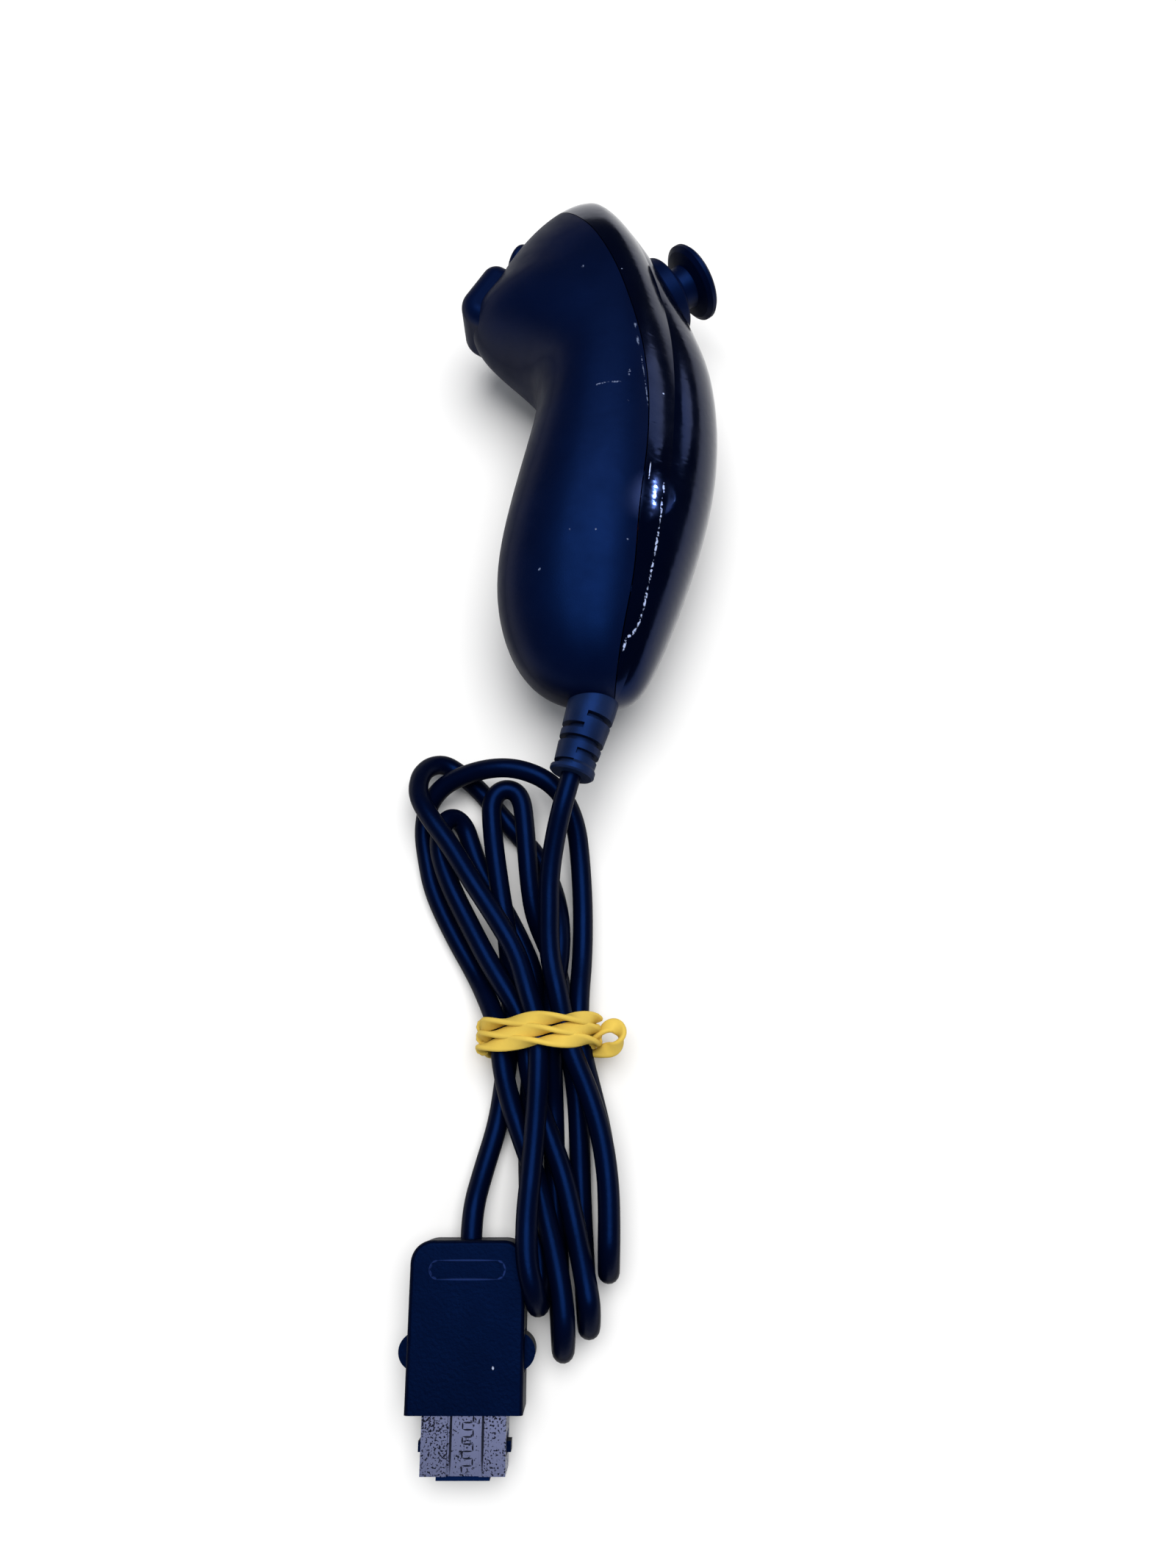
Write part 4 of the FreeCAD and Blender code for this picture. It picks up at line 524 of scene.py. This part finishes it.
class CONTROLLER_OT_finishes(bpy.types.Operator):
    """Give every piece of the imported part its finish"""
    bl_idname = "controller.finishes"
    bl_label = "Finishes"

    def execute(self, context):
        settings = context.scene.controller_finish
        colour, sheen = tuple(settings.casing), tuple(settings.sheen)
        roughness = settings.casing_roughness
        by_slot = {
            "casing_lower": casing_matt(colour, sheen, roughness),
            "casing_upper": casing_gloss(darker(colour, 0.3), sheen, settings.gloss_roughness),
            "plug_plastic": plug_plastic(darker(colour, 0.5), sheen, roughness),
            "plug_steel": speckled_steel(tuple(settings.steel)),
            "cord_rubber": cord_jacket(darker(colour, 0.5), sheen),
            "relief_rubber": relief_rubber(RELIEF_COLOUR, sheen),
        }
        for slot, finish in HIDDEN_FINISHES.items():
            by_slot[slot] = simple(*finish)
        dull = dull_plastic(colour, sheen, roughness)
        slots = {part["node"]: part["material_slot"] for part in frame["record"]["subparts"]}
        for name, node in frame["nodes"].items():
            finish = dull if name == "plug_insert" else by_slot.get(slots.get(name), dull)
            if node.material_slots:
                for place in node.material_slots:
                    place.material = finish
            else:
                node.data.materials.append(finish)
        return {"FINISHED"}


class CONTROLLER_OT_band(bpy.types.Operator):
    """Add the twisted rubber band round the hank's waist"""
    bl_idname = "controller.band"
    bl_label = "Rubber Band"

    def execute(self, context):
        settings = context.scene.controller_cord
        points = []
        for turn in range(BAND_TURNS):
            for number, (across, height) in enumerate(BAND_TURN):
                share = turn + number / len(BAND_TURN)
                points.append((across, BAND_START - BAND_PITCH * share, height))
        points += BAND_LOOP
        curve = route_curve("rubber_band", points, settings.band_thickness / 2,
                            steps=16, rounding=3)
        curve.extrude = settings.band_width / 2 - settings.band_thickness / 2
        curve.twist_mode = "Z_UP"
        for number, knot in enumerate(curve.splines[0].points):
            knot.tilt = BAND_TWIST * number
        band = scene_object("rubber_band", curve)
        latex = band_latex(tuple(context.scene.controller_finish.band))
        as_piece(band, latex)
        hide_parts("cord_band")
        return {"FINISHED"}


class CONTROLLER_OT_cord(bpy.types.Operator):
    """Add the cord from the strain relief through the hank to the plug"""
    bl_idname = "controller.cord"
    bl_label = "Cord"

    def execute(self, context):
        diameter = context.scene.controller_cord.diameter
        curve = route_curve("cord", CORD_ROUTE, diameter / 2, steps=8, rounding=6)
        cord = scene_object("cord", curve)
        as_piece(cord, bpy.data.materials["cord_jacket"])
        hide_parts("cord_lead", "cord_hank", "cord_tail")
        return {"FINISHED"}


class CONTROLLER_OT_stage(bpy.types.Operator):
    """Add the pale floor, the soft light and the camera"""
    bl_idname = "controller.stage"
    bl_label = "Stage"

    def execute(self, context):
        settings = context.scene.controller_studio
        shape = bmesh.new()
        bmesh.ops.create_grid(shape, x_segments=1, y_segments=1, size=FLOOR_HALF)
        mesh = bpy.data.meshes.new("floor")
        shape.to_mesh(mesh)
        shape.free()
        floor = scene_object("floor", mesh)
        paper = Look("floor_paper").plain(Base_Color=(*settings.floor, 1), Roughness=0.9,
                                          Specular_IOR_Level=0.2)
        mesh.materials.append(paper.material)
        light("top_light", TOP_LIGHT_PLACE, TOP_LIGHT_TARGET, TOP_LIGHT_SIZE,
              settings.top_light)
        card = light("card", CARD_PLACE, STRIP_PLACE, CARD_SIZE, settings.card)
        card.visible_diffuse = False
        spark = light("spark", SPARK_PLACE, STRIP_PLACE, SPARK_SIZE, settings.spark,
                      beam=SPARK_BEAM)
        spark.visible_diffuse = False
        world = bpy.data.worlds.new("studio")
        context.scene.world = world
        world.use_nodes = True
        tree = world.node_tree
        air = tree.nodes["Background"]
        air.inputs["Color"].default_value = (*AIR_COLOUR, 1)
        mirrored = tree.nodes.new("ShaderNodeLightPath").outputs["Is Glossy Ray"]
        dimmed = tree.nodes.new("ShaderNodeMapRange")
        dimmed.inputs["To Min"].default_value = settings.air
        dimmed.inputs["To Max"].default_value = AIR_MIRRORED * settings.air
        tree.links.new(mirrored, dimmed.inputs["Value"])
        tree.links.new(dimmed.outputs["Result"], air.inputs["Strength"])
        context.scene.view_settings.view_transform = "Standard"
        lens = bpy.data.cameras.new("camera")
        lens.lens = CAMERA_LENS
        lens.clip_start = 0.01
        camera = scene_object("camera", lens)
        camera.location = CAMERA_PLACE
        camera.rotation_euler = (math.radians(CAMERA_PITCH), 0, 0)
        context.scene.camera = camera
        return {"FINISHED"}


class CONTROLLER_PT_panel(bpy.types.Panel):
    """The controller's pieces, finishes and studio"""
    bl_label = "Controller"
    bl_idname = "CONTROLLER_PT_panel"
    bl_space_type = "VIEW_3D"
    bl_region_type = "UI"
    bl_category = "Controller"

    def draw(self, context):
        scene = context.scene
        for settings in (scene.controller_finish, scene.controller_cord,
                         scene.controller_studio):
            box = self.layout.box()
            for name in settings.__annotations__:
                box.prop(settings, name)
        for operator in OPERATORS:
            self.layout.operator(operator.bl_idname)


SETTINGS = {
    "controller_finish": FinishSettings,
    "controller_cord": CordSettings,
    "controller_studio": StudioSettings,
}
OPERATORS = (
    CONTROLLER_OT_finishes,
    CONTROLLER_OT_band,
    CONTROLLER_OT_cord,
    CONTROLLER_OT_stage,
)


def register():
    for name, group in SETTINGS.items():
        bpy.utils.register_class(group)
        setattr(bpy.types.Scene, name, bpy.props.PointerProperty(type=group))
    for shown in (*OPERATORS, CONTROLLER_PT_panel):
        bpy.utils.register_class(shown)


def unregister():
    for shown in reversed((*OPERATORS, CONTROLLER_PT_panel)):
        bpy.utils.unregister_class(shown)
    for name, group in SETTINGS.items():
        delattr(bpy.types.Scene, name)
        bpy.utils.unregister_class(group)


def main():
    register()
    bpy.ops.controller.finishes()
    bpy.ops.controller.band()
    bpy.ops.controller.cord()
    bpy.ops.controller.stage()


if __name__ == "__main__":
    main()
